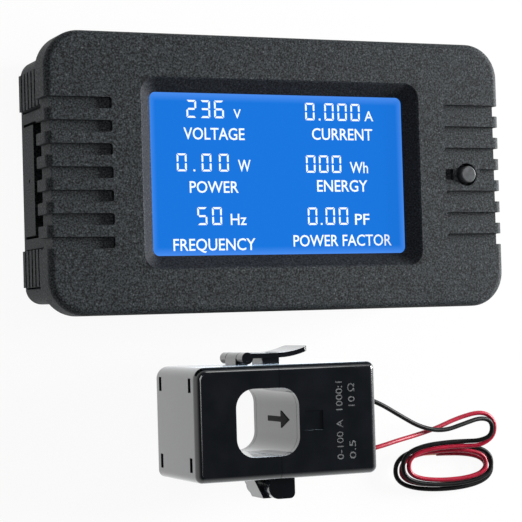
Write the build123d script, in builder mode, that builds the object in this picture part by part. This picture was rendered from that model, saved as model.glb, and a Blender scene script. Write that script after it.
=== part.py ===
from build123d import *
import math
import os

os.makedirs("parts", exist_ok=True)

# A panel meter lies face up on its back, with its clamp-on current transformer beside it.
# Millimetres. X runs along the meter, Y towards its top edge, Z up out of its face.
# The origin is under the middle of the pair, on the surface that both rest on.

# Meter housing
meter_width = 89.6
meter_height = 49.6
meter_depth = 24.4
bezel_thickness = 6.0
bezel_corner_radius = 6.5
bezel_edge_radius = 1.2
face_wall = 2.6
flange_side = 2.5
flange_edge = 2.45
rear_width = meter_width - 2 * flange_side
rear_height = meter_height - 2 * flange_edge
flange_back = meter_depth - bezel_thickness
rear_corner_radius = 3.0
rear_edge_radius = 0.8
housing_wall = 1.6
housing_floor = 1.8
rim_height = 1.5
rim_clearance = 0.15

# Display window
recess_end_margin = 17.3
recess_edge_margin = 7.8
recess_width = meter_width - 2 * recess_end_margin
recess_height = meter_height - 2 * recess_edge_margin
recess_corner_radius = 3.0
recess_depth = 2.2
bevel_side = 2.4
bevel_edge = 2.45
view_width = recess_width - 2 * bevel_side
view_height = recess_height - 2 * bevel_edge
view_corner_radius = 1.2

# Grip grooves of the bezel
groove_count = 7
groove_pitch = meter_height / 12.25
groove_width = groove_pitch / 1.975
groove_depth = 1.0
groove_side_depth = 0.9
groove_length = 12.0
groove_corner_radius = 0.5
groove_inner_end = meter_width / 2 - groove_length

# Push button
button_inset = 7.45
button_x = meter_width / 2 - button_inset
button_boss_radius = 2.95
button_hole_radius = 2.15
button_radius = 1.55
button_proud = 0.85
button_travel = 0.35
button_flange_radius = 2.7
button_flange_thickness = 0.8
button_gap = 0.1

# Snap tabs that hold the meter in a panel
tab_row = rear_height / 2 - 6.35
tab_width = 6.6
tab_thickness = 1.6
tab_proud = 1.0
tab_root = 2.6
tab_tip = flange_back - 0.8
tab_gap = 0.3
tab_rib_pitch = 2.1
tab_rib_count = 7
tab_rib_groove = 0.7
tab_rib_depth = 0.4

# Bezel legs that snap into the rear housing, and the tongue below their window
window_half_height = tab_row - 5.5
window_floor = 8.0
window_top = flange_back - 1.2
tongue_slot = 0.5
gate_mark_radius = 0.35
leg_inner_face = rear_width / 2 - 3.3
leg_thickness = 1.5
leg_row = 6.25
leg_height = 5.5
leg_tip = window_floor + 0.6
leg_nib_proud = 1.3
leg_nib_length = 3.6
leg_nib_gap = 0.2

# Circuit board and what it carries
board_thickness = 1.6
board_top = meter_depth - 10.4
board_width = rear_width - 7.4
board_height = rear_height - 4.3
board_ear_reach = rear_width / 2 - 2.2
board_ear_height = 5.8
board_corner_radius = 1.0
boss_x = rear_width / 2 - 7.5
boss_y = rear_height / 2 - 5.35
boss_radius = 2.2
screw_shank_radius = 0.95
screw_clearance = 0.08
screw_head_radius = 1.9
screw_head_height = 1.3
screw_depth = 5.0
switch_size = 4.4
switch_height = 3.0
plunger_radius = 1.15
plunger_clearance = 0.1
plunger_height = 0.9
plunger_depth = 0.9
chip_row = 8.0
chip_inset = 18.6
controller_x = 2.0
meter_chip_length = 15.4
meter_chip_width = 7.5
meter_chip_height = 2.2
controller_length = 10.2
controller_width = 5.3
controller_height = 1.8
driver_length = 11.0
driver_width = 6.1
driver_height = 1.7
supply_inset = 14.6
supply_row = -8.0
film_capacitor_length = 13.0
film_capacitor_width = 6.0
film_capacitor_clearance = 1.6
film_capacitor_height = board_top - board_thickness - housing_floor - film_capacitor_clearance
film_capacitor_corner = 0.8
smoothing_radius = 4.0
smoothing_clearance = 1.4
smoothing_height = board_top - board_thickness - housing_floor - smoothing_clearance
smoothing_edge = 0.6

# Display stack
glass_width = view_width + 5.8
glass_height = view_height + 6.9
glass_thickness = 1.0
glass_ledge = 2.6
film_width = view_width + 2.6
film_height = view_height + 2.5
film_thickness = 0.2
holder_width = glass_width + 4.0
holder_height = glass_height + 3.6
holder_floor = 1.0
guide_width = glass_width - 2.0
guide_height = glass_height - 2.4
stack_gap = 0.1
pin_count = 14
pin_pitch = 2.54
pin_size = 0.4
led_length = 3.4
led_width = 1.0
led_height = 2.4

# Terminal block
pole_count = 4
pole_pitch = 5.08
block_end_wall = 0.3
block_depth = 10.0
block_back_y = block_depth + 0.35 - rear_height / 2
block_height = 11.2
block_base = board_top - board_thickness - block_height
block_gap = 0.15
chamber_half_width = 2.2
chamber_front_wall = 1.0
chamber_back_wall = 2.2
chamber_low = block_base + 2.1
chamber_high = block_base + 9.6
entry_width = 3.4
entry_low = block_base + 5.2
entry_high = block_base + 9.0
terminal_screw_radius = 1.45
terminal_head_radius = 1.75
terminal_head_low = block_base + 0.5
terminal_head_height = 1.3
terminal_screw_tip = block_base + 5.9
terminal_slot_width = 0.5
terminal_slot_depth = 0.6
clamp_width = 4.0
clamp_length = 4.6
clamp_wall = 0.8
clamp_side_wall = 0.4
clamp_low = block_base + 3.7
clamp_height = 5.5
clamp_clearance = 0.06
pin_plate_width = 2.2
pin_plate_thickness = 0.5
pin_leg_width = 1.0
pin_plate_gap = 0.1

# Current transformer: a fixed half and a hinged jaw, each a shell with a liner snapped into it
case_width = 36.0
case_height = 20.7
case_depth = 21.2
case_split = 16.4
split_gap = 0.1
case_wall = 1.2
case_edge_radius = 1.3
case_top_left_radius = 2.3
case_corner_radius = 1.35
cable_window = 12.4
cable_window_radius = 3.5
cable_window_left = 7.75
liner_wall = 0.9
liner_clearance = 0.1
rib_thickness = 1.0
hook_slot_width = 1.3
hook_slot_height = 2.6
hook_slot_z = 3.05
hook_slot_y = 3.2
hook_clearance = 0.12
hook_recess = 0.35
core_depth = 12.6
core_thickness = 1.75
core_clearance = 0.15
core_leg = 3.0
jaw_leg_x = 3.3
fixed_leg_x = 25.2
bobbin_wall = 0.7
bobbin_flange = 0.8
bobbin_gap = 0.1
winding_thickness = 1.5
relief_size = 3.6
relief_depth = 0.25
relief_gap = 1.2
burden_board_x = 31.6
burden_board_thickness = 1.0
board_margin = 0.6
between_leads = 8.6
resistor_chip_length = 6.3
resistor_chip_width = 3.2
resistor_chip_height = 0.7
diode_chip_length = 4.3
diode_chip_width = 2.6
diode_chip_height = 1.6
diode_chip_offset = 5.4
pad_margin = 1.0

# Hinge under the transformer, and the latch strap on top of it
hinge_x = 18.0
knuckle_radius = 2.05
knuckle_span = 10.8
knuckle_middle = 5.4
knuckle_gap = 0.15
knuckle_end = 21.2
knuckle_left = 13.9
hinge_pin_radius = 0.8
pin_clearance = 0.05
latch_x = 12.4
latch_rise = 1.25
latch_eye_radius = 1.1
latch_pin_radius = 0.55
latch_span = 10.8
latch_window = 5.4
lug_gap = 0.2
lug_width = 2.4
strap_thickness = 0.9
strap_top = 2.1
strap_bar_x = 20.15
strap_bend_x = 18.6
strap_tip_x = 24.6
strap_tip_rise = 3.25
catch_left = 16.6
catch_right = 20.0
catch_span = 5.0
catch_notch = 1.2
catch_notch_depth = 0.7
strap_corner_radius = 0.8

# Leads: a limp free stretch from the board inside, then a flattened coil on the table and a bare tip
lead_diameter = 0.9
conductor_diameter = 0.5
tip_length = 5.0
lead_height = 10.6
lead_hole_clearance = 0.05
black_exit_drop = 6.7
red_exit_drop = 17.5
coil_x = 43.0
coil_y = -38.5
coil_top = 3.67
coil_turns = 2
coil_drop = 1.6
coil_drift = 0.9
coil_growth_x = 0.9
coil_growth_y = 0.15
coil_lead_in = 3.2
coil_squareness = 0.08
coil_end_step = 0.65

# Places of the two pieces in the pair
pair_gap = 6.5
case_left = -17.5
pair_length = meter_height + pair_gap + strap_tip_rise + case_height + 2 * knuckle_radius
meter_y = pair_length / 2 - meter_height / 2
case_bottom = -pair_length / 2 + 2 * knuckle_radius

# Heights that follow from the sizes above
face_inside = meter_depth - face_wall
board_bottom = board_top - board_thickness


def at_meter(height):
    """A level plane whose origin is the middle of the meter."""
    return Plane(origin=(0, meter_y, height))


def meter_side(x):
    """A plane square to X, with Y of the meter across it and Z up it."""
    return Plane(origin=(x, meter_y, 0), x_dir=(0, 1, 0), z_dir=(1, 0, 0))


def at_case(height):
    """A level plane whose origin is the lower left corner of the transformer."""
    return Plane(origin=(case_left, case_bottom, height))


def case_side(x):
    """A plane square to X, counted from the transformer's left end and lower edge."""
    return Plane(origin=(case_left + x, case_bottom, 0), x_dir=(0, 1, 0), z_dir=(1, 0, 0))


# Front bezel: a deep rounded tray with the display window, grip grooves, legs and screw bosses
groove_rows = [(i - (groove_count - 1) / 2) * groove_pitch for i in range(groove_count)]
groove_middle = groove_inner_end + groove_length / 2 + groove_corner_radius
leg_middle = leg_inner_face + leg_thickness / 2
leg_places = [(sx * leg_middle, sy * leg_row) for sx in (-1, 1) for sy in (-1, 1)]
nib_middle = leg_inner_face + leg_thickness + leg_nib_proud / 2
boss_places = [(sx * boss_x, sy * boss_y) for sx in (-1, 1) for sy in (-1, 1)]

with BuildPart() as front_bezel:
    with BuildSketch(at_meter(flange_back)):
        RectangleRounded(meter_width, meter_height, bezel_corner_radius)
    extrude(amount=bezel_thickness)
    fillet(front_bezel.faces().sort_by(Axis.Z)[-1].edges(), bezel_edge_radius)
    # hollow back that takes the rim of the rear housing
    with BuildSketch(at_meter(flange_back)):
        RectangleRounded(rear_width + 2 * rim_clearance, rear_height + 2 * rim_clearance,
                         rear_corner_radius + rim_clearance)
    extrude(amount=bezel_thickness - face_wall, mode=Mode.SUBTRACT)
    # bevelled window
    with BuildSketch(at_meter(meter_depth)):
        RectangleRounded(recess_width, recess_height, recess_corner_radius)
    with BuildSketch(at_meter(meter_depth - recess_depth)):
        RectangleRounded(view_width, view_height, view_corner_radius)
    loft(mode=Mode.SUBTRACT)
    with BuildSketch(at_meter(face_inside)):
        RectangleRounded(view_width, view_height, view_corner_radius)
    extrude(amount=face_wall - recess_depth, mode=Mode.SUBTRACT)
    # grooves across both ends of the face, stopping at the ring round the button
    with BuildSketch(at_meter(meter_depth)):
        with Locations(*[(side * groove_middle, row) for side in (-1, 1) for row in groove_rows]):
            RectangleRounded(groove_length + 2 * groove_corner_radius, groove_width, groove_corner_radius)
        with Locations((button_x, 0)):
            Circle(button_boss_radius, mode=Mode.SUBTRACT)
    extrude(amount=-groove_depth, mode=Mode.SUBTRACT)
    # the same grooves down the ends
    with BuildSketch(at_meter(flange_back)):
        with Locations(*[(side * meter_width / 2, row) for side in (-1, 1) for row in groove_rows]):
            Rectangle(2 * groove_side_depth, groove_width)
    extrude(amount=bezel_thickness, mode=Mode.SUBTRACT)
    # screw bosses that stand on the board
    with BuildSketch(at_meter(board_top)):
        with Locations(*boss_places):
            Circle(boss_radius)
    extrude(amount=face_inside - board_top)
    with BuildSketch(at_meter(board_top)):
        with Locations(*boss_places):
            Circle(screw_shank_radius)
    extrude(amount=screw_depth, mode=Mode.SUBTRACT)
    # legs with outward nibs that snap under the side windows of the rear housing
    with BuildSketch(at_meter(leg_tip)):
        with Locations(*leg_places):
            Rectangle(leg_thickness, leg_height)
    extrude(amount=face_inside - leg_tip)
    with BuildSketch(at_meter(window_top - leg_nib_gap - leg_nib_length)):
        with Locations(*[(math.copysign(nib_middle, x), y) for x, y in leg_places]):
            Rectangle(leg_nib_proud, leg_height)
    extrude(amount=leg_nib_length)
    # hole for the button
    with BuildSketch(at_meter(face_inside)):
        with Locations((button_x, 0)):
            Circle(button_hole_radius)
    extrude(amount=face_wall, mode=Mode.SUBTRACT)
front_bezel.part.label = "front_bezel"
export_step(front_bezel.part, "parts/front_bezel.step")

# Rear housing: an open box with a rim, side windows, tab windows and a corner for the terminals
block_width = pole_count * pole_pitch + 2 * block_end_wall
block_front_y = block_back_y - block_depth
tab_window_height = tab_width + 2 * tab_gap
tab_window_low = tab_root - tab_thickness / 2 - block_gap
tab_window_high = tab_tip + tab_gap

with BuildPart() as rear_housing:
    with BuildSketch(at_meter(0)):
        RectangleRounded(rear_width, rear_height, rear_corner_radius)
    extrude(amount=flange_back + rim_height)
    fillet(rear_housing.faces().sort_by(Axis.Z)[0].edges(), rear_edge_radius)
    with BuildSketch(at_meter(housing_floor)):
        RectangleRounded(rear_width - 2 * housing_wall, rear_height - 2 * housing_wall,
                         rear_corner_radius - housing_wall)
    extrude(amount=meter_depth, mode=Mode.SUBTRACT)
    # corner opening for the terminal block, in the floor and in the lower wall
    with BuildSketch(at_meter(0)):
        with Locations((0, (block_back_y + block_gap - meter_height / 2) / 2)):
            Rectangle(block_width + 2 * block_gap, block_back_y + block_gap + meter_height / 2)
    extrude(amount=board_bottom + block_gap, mode=Mode.SUBTRACT)
    # windows through both end walls: one for the bezel legs, two for the snap tabs
    with BuildSketch(meter_side(-meter_width / 2)):
        with Locations((0, (window_floor + window_top) / 2)):
            Rectangle(2 * window_half_height, window_top - window_floor)
        with Locations((-window_half_height + tongue_slot / 2, (housing_floor + window_floor) / 2),
                       (window_half_height - tongue_slot / 2, (housing_floor + window_floor) / 2)):
            Rectangle(tongue_slot, window_floor - housing_floor)
        with Locations((-tab_row, (tab_window_low + tab_window_high) / 2),
                       (tab_row, (tab_window_low + tab_window_high) / 2)):
            Rectangle(tab_window_height, tab_window_high - tab_window_low)
    extrude(amount=meter_width, mode=Mode.SUBTRACT)
    # moulding gate marks in the tongues
    for side in (-1, 1):
        with BuildSketch(meter_side(side * rear_width / 2)):
            with Locations((0, (window_floor + housing_floor) / 2)):
                Circle(gate_mark_radius)
        extrude(amount=-side * gate_mark_radius, mode=Mode.SUBTRACT)
rear_housing.part.label = "rear_housing"
export_step(rear_housing.part, "parts/rear_housing.step")

# Snap tabs: ribbed fingers in the end walls, rounded at the root, where they bend
tab_inner_face = rear_width / 2 - housing_wall
tab_root_radius = tab_thickness / 2
tab_outer_face = rear_width / 2 + tab_proud
tab_body_top = tab_inner_face + tab_thickness

for side, side_name in ((-1, "left"), (1, "right")):
    for row, row_name in ((1, "upper"), (-1, "lower")):
        with BuildPart() as snap_tab:
            with BuildSketch(meter_side(0)):
                with Locations((row * tab_row, (tab_root + tab_tip) / 2)):
                    Rectangle(tab_width, tab_tip - tab_root)
            extrude(amount=side * tab_body_top)
            with BuildSketch(meter_side(0)):
                Rectangle(meter_height, 4 * meter_depth)
            extrude(amount=side * tab_inner_face, mode=Mode.SUBTRACT)
            # rounded root
            with BuildSketch(Plane.XZ.offset(-meter_y - row * tab_row + tab_width / 2)):
                with Locations((side * (tab_inner_face + tab_root_radius), tab_root)):
                    Circle(tab_root_radius)
            extrude(amount=-tab_width)
            # raised pad with ribs that run across it, so that a panel edge can catch on any of them
            pad_low = tab_tip - tab_rib_pitch * tab_rib_count
            with BuildSketch(meter_side(side * tab_body_top)):
                with Locations((row * tab_row, (pad_low + tab_tip) / 2)):
                    Rectangle(tab_width, tab_tip - pad_low)
            extrude(amount=side * (tab_outer_face - tab_body_top))
            with BuildSketch(meter_side(side * tab_outer_face)):
                with Locations(*[(row * tab_row, pad_low + (i + 1) * tab_rib_pitch - tab_rib_groove / 2)
                                 for i in range(tab_rib_count - 1)]):
                    Rectangle(tab_width, tab_rib_groove)
            extrude(amount=-side * tab_rib_depth, mode=Mode.SUBTRACT)
        tab_name = f"snap_tab_{side_name}_{row_name}"
        snap_tab.part.label = tab_name
        export_step(snap_tab.part, f"parts/{tab_name}.step")

# Display holder: a tray on the board with a pocket for the light guide and a wider one for the glass
glass_low = face_inside - film_thickness - stack_gap - 2 * glass_thickness
guide_low = board_top + holder_floor
guide_top = glass_low - stack_gap
pin_row = -glass_height / 2 - pin_size
slot_length = pin_pitch * pin_count

with BuildPart() as display_holder:
    with BuildSketch(at_meter(board_top)):
        RectangleRounded(holder_width, holder_height, board_corner_radius)
    extrude(amount=glass_low + glass_thickness - board_top)
    with BuildSketch(at_meter(guide_low)):
        Rectangle(guide_width + 2 * stack_gap, guide_height + 2 * stack_gap)
        with Locations((-guide_width / 2 - led_width / 2, 0), (guide_width / 2 + led_width / 2, 0)):
            Rectangle(led_width + 2 * stack_gap, led_length + 2 * stack_gap)
    extrude(amount=glass_low + glass_thickness - guide_low, mode=Mode.SUBTRACT)
    with BuildSketch(at_meter(glass_low - stack_gap)):
        Rectangle(glass_width + 2 * stack_gap, glass_height + 2 * stack_gap)
    extrude(amount=glass_thickness + stack_gap, mode=Mode.SUBTRACT)
    with BuildSketch(at_meter(board_top)):
        with Locations((0, pin_row)):
            Rectangle(slot_length, pin_size + 2 * stack_gap)
    extrude(amount=glass_low + glass_thickness - board_top, mode=Mode.SUBTRACT)
display_holder.part.label = "display_holder"
export_step(display_holder.part, "parts/display_holder.step")

with BuildPart() as light_guide:
    with BuildSketch(at_meter(guide_low)):
        Rectangle(guide_width, guide_height)
    extrude(amount=glass_low - guide_low)
light_guide.part.label = "light_guide"
export_step(light_guide.part, "parts/light_guide.step")

with BuildPart() as backlight_leds:
    with BuildSketch(at_meter(guide_low)):
        with Locations((-guide_width / 2 - led_width / 2, 0), (guide_width / 2 + led_width / 2, 0)):
            Rectangle(led_width - stack_gap, led_length)
    extrude(amount=led_height)
backlight_leds.part.label = "backlight_leds"
export_step(backlight_leds.part, "parts/backlight_leds.step")

# Display glass: two plates, the lower one with a ledge where the pins clip on
with BuildPart() as lcd_glass:
    with BuildSketch(at_meter(glass_low)):
        Rectangle(glass_width, glass_height)
    extrude(amount=glass_thickness)
    with BuildSketch(at_meter(glass_low + glass_thickness)):
        with Locations((0, glass_ledge / 2)):
            Rectangle(glass_width, glass_height - glass_ledge)
    extrude(amount=glass_thickness)
lcd_glass.part.label = "lcd_glass"
export_step(lcd_glass.part, "parts/lcd_glass.step")

with BuildPart() as lcd_film:
    with BuildSketch(at_meter(glass_low + 2 * glass_thickness)):
        RectangleRounded(film_width, film_height, board_corner_radius)
    extrude(amount=film_thickness)
lcd_film.part.label = "lcd_film"
export_step(lcd_film.part, "parts/lcd_film.step")

# Display pins: each lies on the glass ledge and goes down through the holder and the board
pin_reach = glass_ledge / 2 + 1.5 * pin_size

with BuildPart() as lcd_pins:
    pin_places = [((i - (pin_count - 1) / 2) * pin_pitch, pin_row) for i in range(pin_count)]
    with BuildSketch(at_meter(board_bottom)):
        with Locations(*pin_places):
            Rectangle(pin_size, pin_size)
    extrude(amount=glass_low + glass_thickness + pin_size - board_bottom)
    with BuildSketch(at_meter(glass_low + glass_thickness)):
        with Locations(*[(x, y + pin_reach / 2) for x, y in pin_places]):
            Rectangle(pin_size, pin_reach)
    extrude(amount=pin_size)
lcd_pins.part.label = "lcd_pins"
export_step(lcd_pins.part, "parts/lcd_pins.step")

# Main board, with an ear under the button and holes for the pins and screws
pole_rows = [(i - (pole_count - 1) / 2) * pole_pitch for i in range(pole_count)]
pin_leg_y = block_back_y - chamber_back_wall / 2
shank_hole_radius = screw_shank_radius + screw_clearance

with BuildPart() as main_board:
    with BuildSketch(at_meter(board_bottom)):
        RectangleRounded(board_width, board_height, board_corner_radius)
        with Locations(((board_width / 2 + board_ear_reach) / 2 - board_corner_radius, 0)):
            Rectangle(board_ear_reach - board_width / 2 + 2 * board_corner_radius, board_ear_height)
        with Locations(*boss_places):
            Circle(shank_hole_radius, mode=Mode.SUBTRACT)
        with Locations(*pin_places):
            Rectangle(pin_size + stack_gap, pin_size + stack_gap, mode=Mode.SUBTRACT)
        with Locations(*[(x, pin_leg_y) for x in pole_rows]):
            Rectangle(pin_leg_width + stack_gap, pin_plate_thickness + stack_gap, mode=Mode.SUBTRACT)
    extrude(amount=board_thickness)
main_board.part.label = "main_board"
export_step(main_board.part, "parts/main_board.step")

with BuildPart() as board_screws:
    with BuildSketch(at_meter(board_bottom)):
        with Locations(*boss_places):
            Circle(screw_head_radius)
    extrude(amount=-screw_head_height)
    with BuildSketch(at_meter(board_bottom)):
        with Locations(*boss_places):
            Circle(screw_shank_radius)
    extrude(amount=board_thickness + screw_depth)
    with BuildSketch(at_meter(board_bottom - screw_head_height)):
        with Locations(*boss_places):
            Rectangle(2 * screw_shank_radius, screw_head_height / 4)
            Rectangle(screw_head_height / 4, 2 * screw_shank_radius)
    extrude(amount=screw_head_height / 2, mode=Mode.SUBTRACT)
board_screws.part.label = "board_screws"
export_step(board_screws.part, "parts/board_screws.step")


def build_chip(length, width, height, x, y, leg_pairs):
    """A moulded chip under the board, with its legs bent out to the board."""
    leg = width / 12
    body_gap = leg / 2
    leg_step = length / (leg_pairs + 1)
    with BuildPart() as chip:
        with BuildSketch(at_meter(board_bottom - body_gap)):
            with Locations((x, y)):
                Rectangle(length, width)
        extrude(amount=-height)
        leg_places = [(x + (i - (leg_pairs - 1) / 2) * leg_step, y + side * (width / 2 + leg))
                      for i in range(leg_pairs) for side in (-1, 1)]
        with BuildSketch(at_meter(board_bottom)):
            with Locations(*leg_places):
                Rectangle(leg_step / 2, 2 * leg)
        extrude(amount=-height / 2)
    return chip


meter_chip = build_chip(meter_chip_length, meter_chip_width, meter_chip_height,
                        chip_inset - board_width / 2, chip_row, 12)
meter_chip.part.label = "meter_chip"
export_step(meter_chip.part, "parts/meter_chip.step")

controller_chip = build_chip(controller_length, controller_width, controller_height,
                             controller_x, chip_row + 1.0, 10)
controller_chip.part.label = "controller_chip"
export_step(controller_chip.part, "parts/controller_chip.step")

display_driver_chip = build_chip(driver_length, driver_width, driver_height,
                                 board_width / 2 - chip_inset, chip_row, 12)
display_driver_chip.part.label = "display_driver_chip"
export_step(display_driver_chip.part, "parts/display_driver_chip.step")

# Parts of the mains supply under the board
with BuildPart() as film_capacitor:
    with BuildSketch(at_meter(board_bottom)):
        with Locations((supply_inset - board_width / 2, supply_row)):
            RectangleRounded(film_capacitor_length, film_capacitor_width, film_capacitor_corner)
    extrude(amount=-film_capacitor_height)
film_capacitor.part.label = "film_capacitor"
export_step(film_capacitor.part, "parts/film_capacitor.step")

with BuildPart() as smoothing_capacitor:
    with BuildSketch(at_meter(board_bottom)):
        with Locations((board_width / 2 - supply_inset, supply_row)):
            Circle(smoothing_radius)
    extrude(amount=-smoothing_height)
    fillet(smoothing_capacitor.faces().sort_by(Axis.Z)[0].edges(), smoothing_edge)
smoothing_capacitor.part.label = "smoothing_capacitor"
export_step(smoothing_capacitor.part, "parts/smoothing_capacitor.step")

resistor_radius = 0.9
with BuildPart() as resistors:
    with BuildSketch(Plane.YZ.offset(-5.0)):
        with Locations(*[(meter_y + 1.2 - i * 2.4, board_bottom - resistor_radius) for i in range(4)]):
            Circle(resistor_radius)
    extrude(amount=6.0)
resistors.part.label = "resistors"
export_step(resistors.part, "parts/resistors.step")

diode_radius = 1.2
with BuildPart() as rectifier_diodes:
    with BuildSketch(Plane.YZ.offset(8.0)):
        with Locations(*[(meter_y + 0.6 - i * 3.2, board_bottom - diode_radius) for i in range(3)]):
            Circle(diode_radius)
    extrude(amount=5.0)
rectifier_diodes.part.label = "rectifier_diodes"
export_step(rectifier_diodes.part, "parts/rectifier_diodes.step")

with BuildPart() as clock_crystal:
    with BuildSketch(at_meter(board_bottom)):
        with Locations((2.0, 15.0)):
            SlotOverall(10.0, 4.2)
    extrude(amount=-3.4)
clock_crystal.part.label = "clock_crystal"
export_step(clock_crystal.part, "parts/clock_crystal.step")

# Push button: the switch on the board, its plunger, and the cap that stands on the plunger
switch_top = board_top + switch_height
plunger_top = switch_top + plunger_height

with BuildPart() as switch_body:
    with BuildSketch(at_meter(board_top)):
        with Locations((button_x, 0)):
            Rectangle(switch_size, switch_size)
    extrude(amount=switch_height)
    with BuildSketch(at_meter(switch_top)):
        with Locations((button_x, 0)):
            Circle(plunger_radius + plunger_clearance)
    extrude(amount=-(plunger_depth + button_travel + plunger_clearance), mode=Mode.SUBTRACT)
switch_body.part.label = "switch_body"
export_step(switch_body.part, "parts/switch_body.step")

with BuildPart() as switch_plunger:
    with BuildSketch(at_meter(switch_top - plunger_depth)):
        with Locations((button_x, 0)):
            Circle(plunger_radius)
    extrude(amount=plunger_depth + plunger_height)
switch_plunger.part.label = "switch_plunger"
export_step(switch_plunger.part, "parts/switch_plunger.step")

with BuildPart() as button_cap:
    with BuildSketch(at_meter(plunger_top)):
        with Locations((button_x, 0)):
            Circle(button_radius)
    extrude(amount=meter_depth + button_proud - plunger_top)
    fillet(button_cap.faces().sort_by(Axis.Z)[-1].edges(), button_proud / 3)
    with BuildSketch(at_meter(face_inside - button_gap)):
        with Locations((button_x, 0)):
            Circle(button_flange_radius)
    extrude(amount=-button_flange_thickness)
button_cap.part.label = "button_cap"
export_step(button_cap.part, "parts/button_cap.step")

# Terminal block: one moulding with a chamber, a wire entry and a screw hole for each pole
chamber_front_y = block_front_y + chamber_front_wall
chamber_back_y = block_back_y - chamber_back_wall
chamber_middle_y = (chamber_front_y + chamber_back_y) / 2
chamber_length = chamber_back_y - chamber_front_y
plate_low = terminal_screw_tip + pin_plate_gap
plate_high = plate_low + pin_plate_thickness

with BuildPart() as terminal_block:
    with BuildSketch(at_meter(block_base)):
        with Locations((0, (block_front_y + block_back_y) / 2)):
            Rectangle(block_width, block_depth)
    extrude(amount=board_bottom - block_base)
    chamfer(terminal_block.edges().filter_by(Axis.X).sort_by(Axis.Z)[0:2], block_end_wall)
    with BuildSketch(at_meter(chamber_low)):
        with Locations(*[(x, chamber_middle_y) for x in pole_rows]):
            Rectangle(2 * chamber_half_width, chamber_length)
    extrude(amount=chamber_high - chamber_low, mode=Mode.SUBTRACT)
    with BuildSketch(at_meter(block_base)):
        with Locations(*[(x, chamber_middle_y) for x in pole_rows]):
            Circle(terminal_head_radius + block_gap)
    extrude(amount=chamber_low - block_base, mode=Mode.SUBTRACT)
    with BuildSketch(Plane.XZ.offset(-meter_y - block_front_y)):
        with Locations(*[(x, (entry_low + entry_high) / 2) for x in pole_rows]):
            Rectangle(entry_width, entry_high - entry_low)
    extrude(amount=-chamber_front_wall, mode=Mode.SUBTRACT)
    # slots that the solder pins stand in
    with BuildSketch(at_meter(plate_low)):
        with Locations(*[(x, pin_leg_y) for x in pole_rows]):
            Rectangle(pin_plate_width + 2 * pin_plate_gap, chamber_back_wall)
    extrude(amount=pin_plate_thickness + pin_plate_gap, mode=Mode.SUBTRACT)
    with BuildSketch(at_meter(plate_low)):
        with Locations(*[(x, pin_leg_y) for x in pole_rows]):
            Rectangle(pin_leg_width + pin_plate_gap, pin_plate_thickness + pin_plate_gap)
    extrude(amount=board_bottom - plate_low, mode=Mode.SUBTRACT)
terminal_block.part.label = "terminal_block"
export_step(terminal_block.part, "parts/terminal_block.step")

with BuildPart() as terminal_pins:
    with BuildSketch(at_meter(plate_low)):
        with Locations(*[(x, (chamber_front_y + pin_plate_gap + pin_leg_y) / 2) for x in pole_rows]):
            Rectangle(pin_plate_width, pin_leg_y - chamber_front_y - pin_plate_gap)
    extrude(amount=pin_plate_thickness)
    with BuildSketch(at_meter(plate_low)):
        with Locations(*[(x, pin_leg_y) for x in pole_rows]):
            Rectangle(pin_leg_width, pin_plate_thickness)
    extrude(amount=board_top - plate_low)
terminal_pins.part.label = "terminal_pins"
export_step(terminal_pins.part, "parts/terminal_pins.step")

for number, x in enumerate(pole_rows, start=1):
    with BuildPart() as terminal_screw:
        with BuildSketch(at_meter(terminal_head_low)):
            with Locations((x, chamber_middle_y)):
                Circle(terminal_head_radius)
        extrude(amount=terminal_head_height)
        with BuildSketch(at_meter(terminal_head_low)):
            with Locations((x, chamber_middle_y)):
                Rectangle(2 * terminal_head_radius, terminal_slot_width)
        extrude(amount=terminal_slot_depth, mode=Mode.SUBTRACT)
        with BuildSketch(at_meter(terminal_head_low + terminal_head_height)):
            with Locations((x, chamber_middle_y)):
                Circle(terminal_screw_radius)
        extrude(amount=terminal_screw_tip - terminal_head_low - terminal_head_height)
    terminal_screw.part.label = f"terminal_screw_{number}"
    export_step(terminal_screw.part, f"parts/terminal_screw_{number}.step")

    with BuildPart() as terminal_clamp:
        with BuildSketch(at_meter(clamp_low)):
            with Locations((x, chamber_middle_y)):
                Rectangle(clamp_width, clamp_length)
        extrude(amount=clamp_height)
        with BuildSketch(at_meter(clamp_low + clamp_wall)):
            with Locations((x, chamber_middle_y)):
                Rectangle(clamp_width - 2 * clamp_side_wall, clamp_length)
        extrude(amount=clamp_height - 2 * clamp_wall, mode=Mode.SUBTRACT)
        with BuildSketch(at_meter(clamp_low)):
            with Locations((x, chamber_middle_y)):
                Circle(terminal_screw_radius + clamp_clearance)
        extrude(amount=clamp_wall, mode=Mode.SUBTRACT)
    terminal_clamp.part.label = f"terminal_clamp_{number}"
    export_step(terminal_clamp.part, f"parts/terminal_clamp_{number}.step")

# Outer shape of the closed transformer, cut in two later, and the places that both halves share
window_x = cable_window_left + cable_window / 2
window_y = case_height / 2
mid_depth = case_depth / 2
jaw_face = case_split - split_gap / 2
fixed_face = case_split + split_gap / 2
cavity_low = case_wall
cavity_high = case_height - case_wall
cavity_length = case_width - 2 * case_wall
liner_size = cable_window + 2 * liner_wall
liner_radius = cable_window_radius + liner_wall
liner_low = case_wall + liner_clearance
liner_depth = case_depth - 2 * liner_low
arm_low_y = cavity_low + core_clearance
arm_high_y = cavity_high - core_clearance - core_thickness
core_low = mid_depth - core_depth / 2
hook_heights = [hook_slot_z, case_depth - hook_slot_z]
hook_rows = [hook_slot_y, case_height - hook_slot_y]


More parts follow.
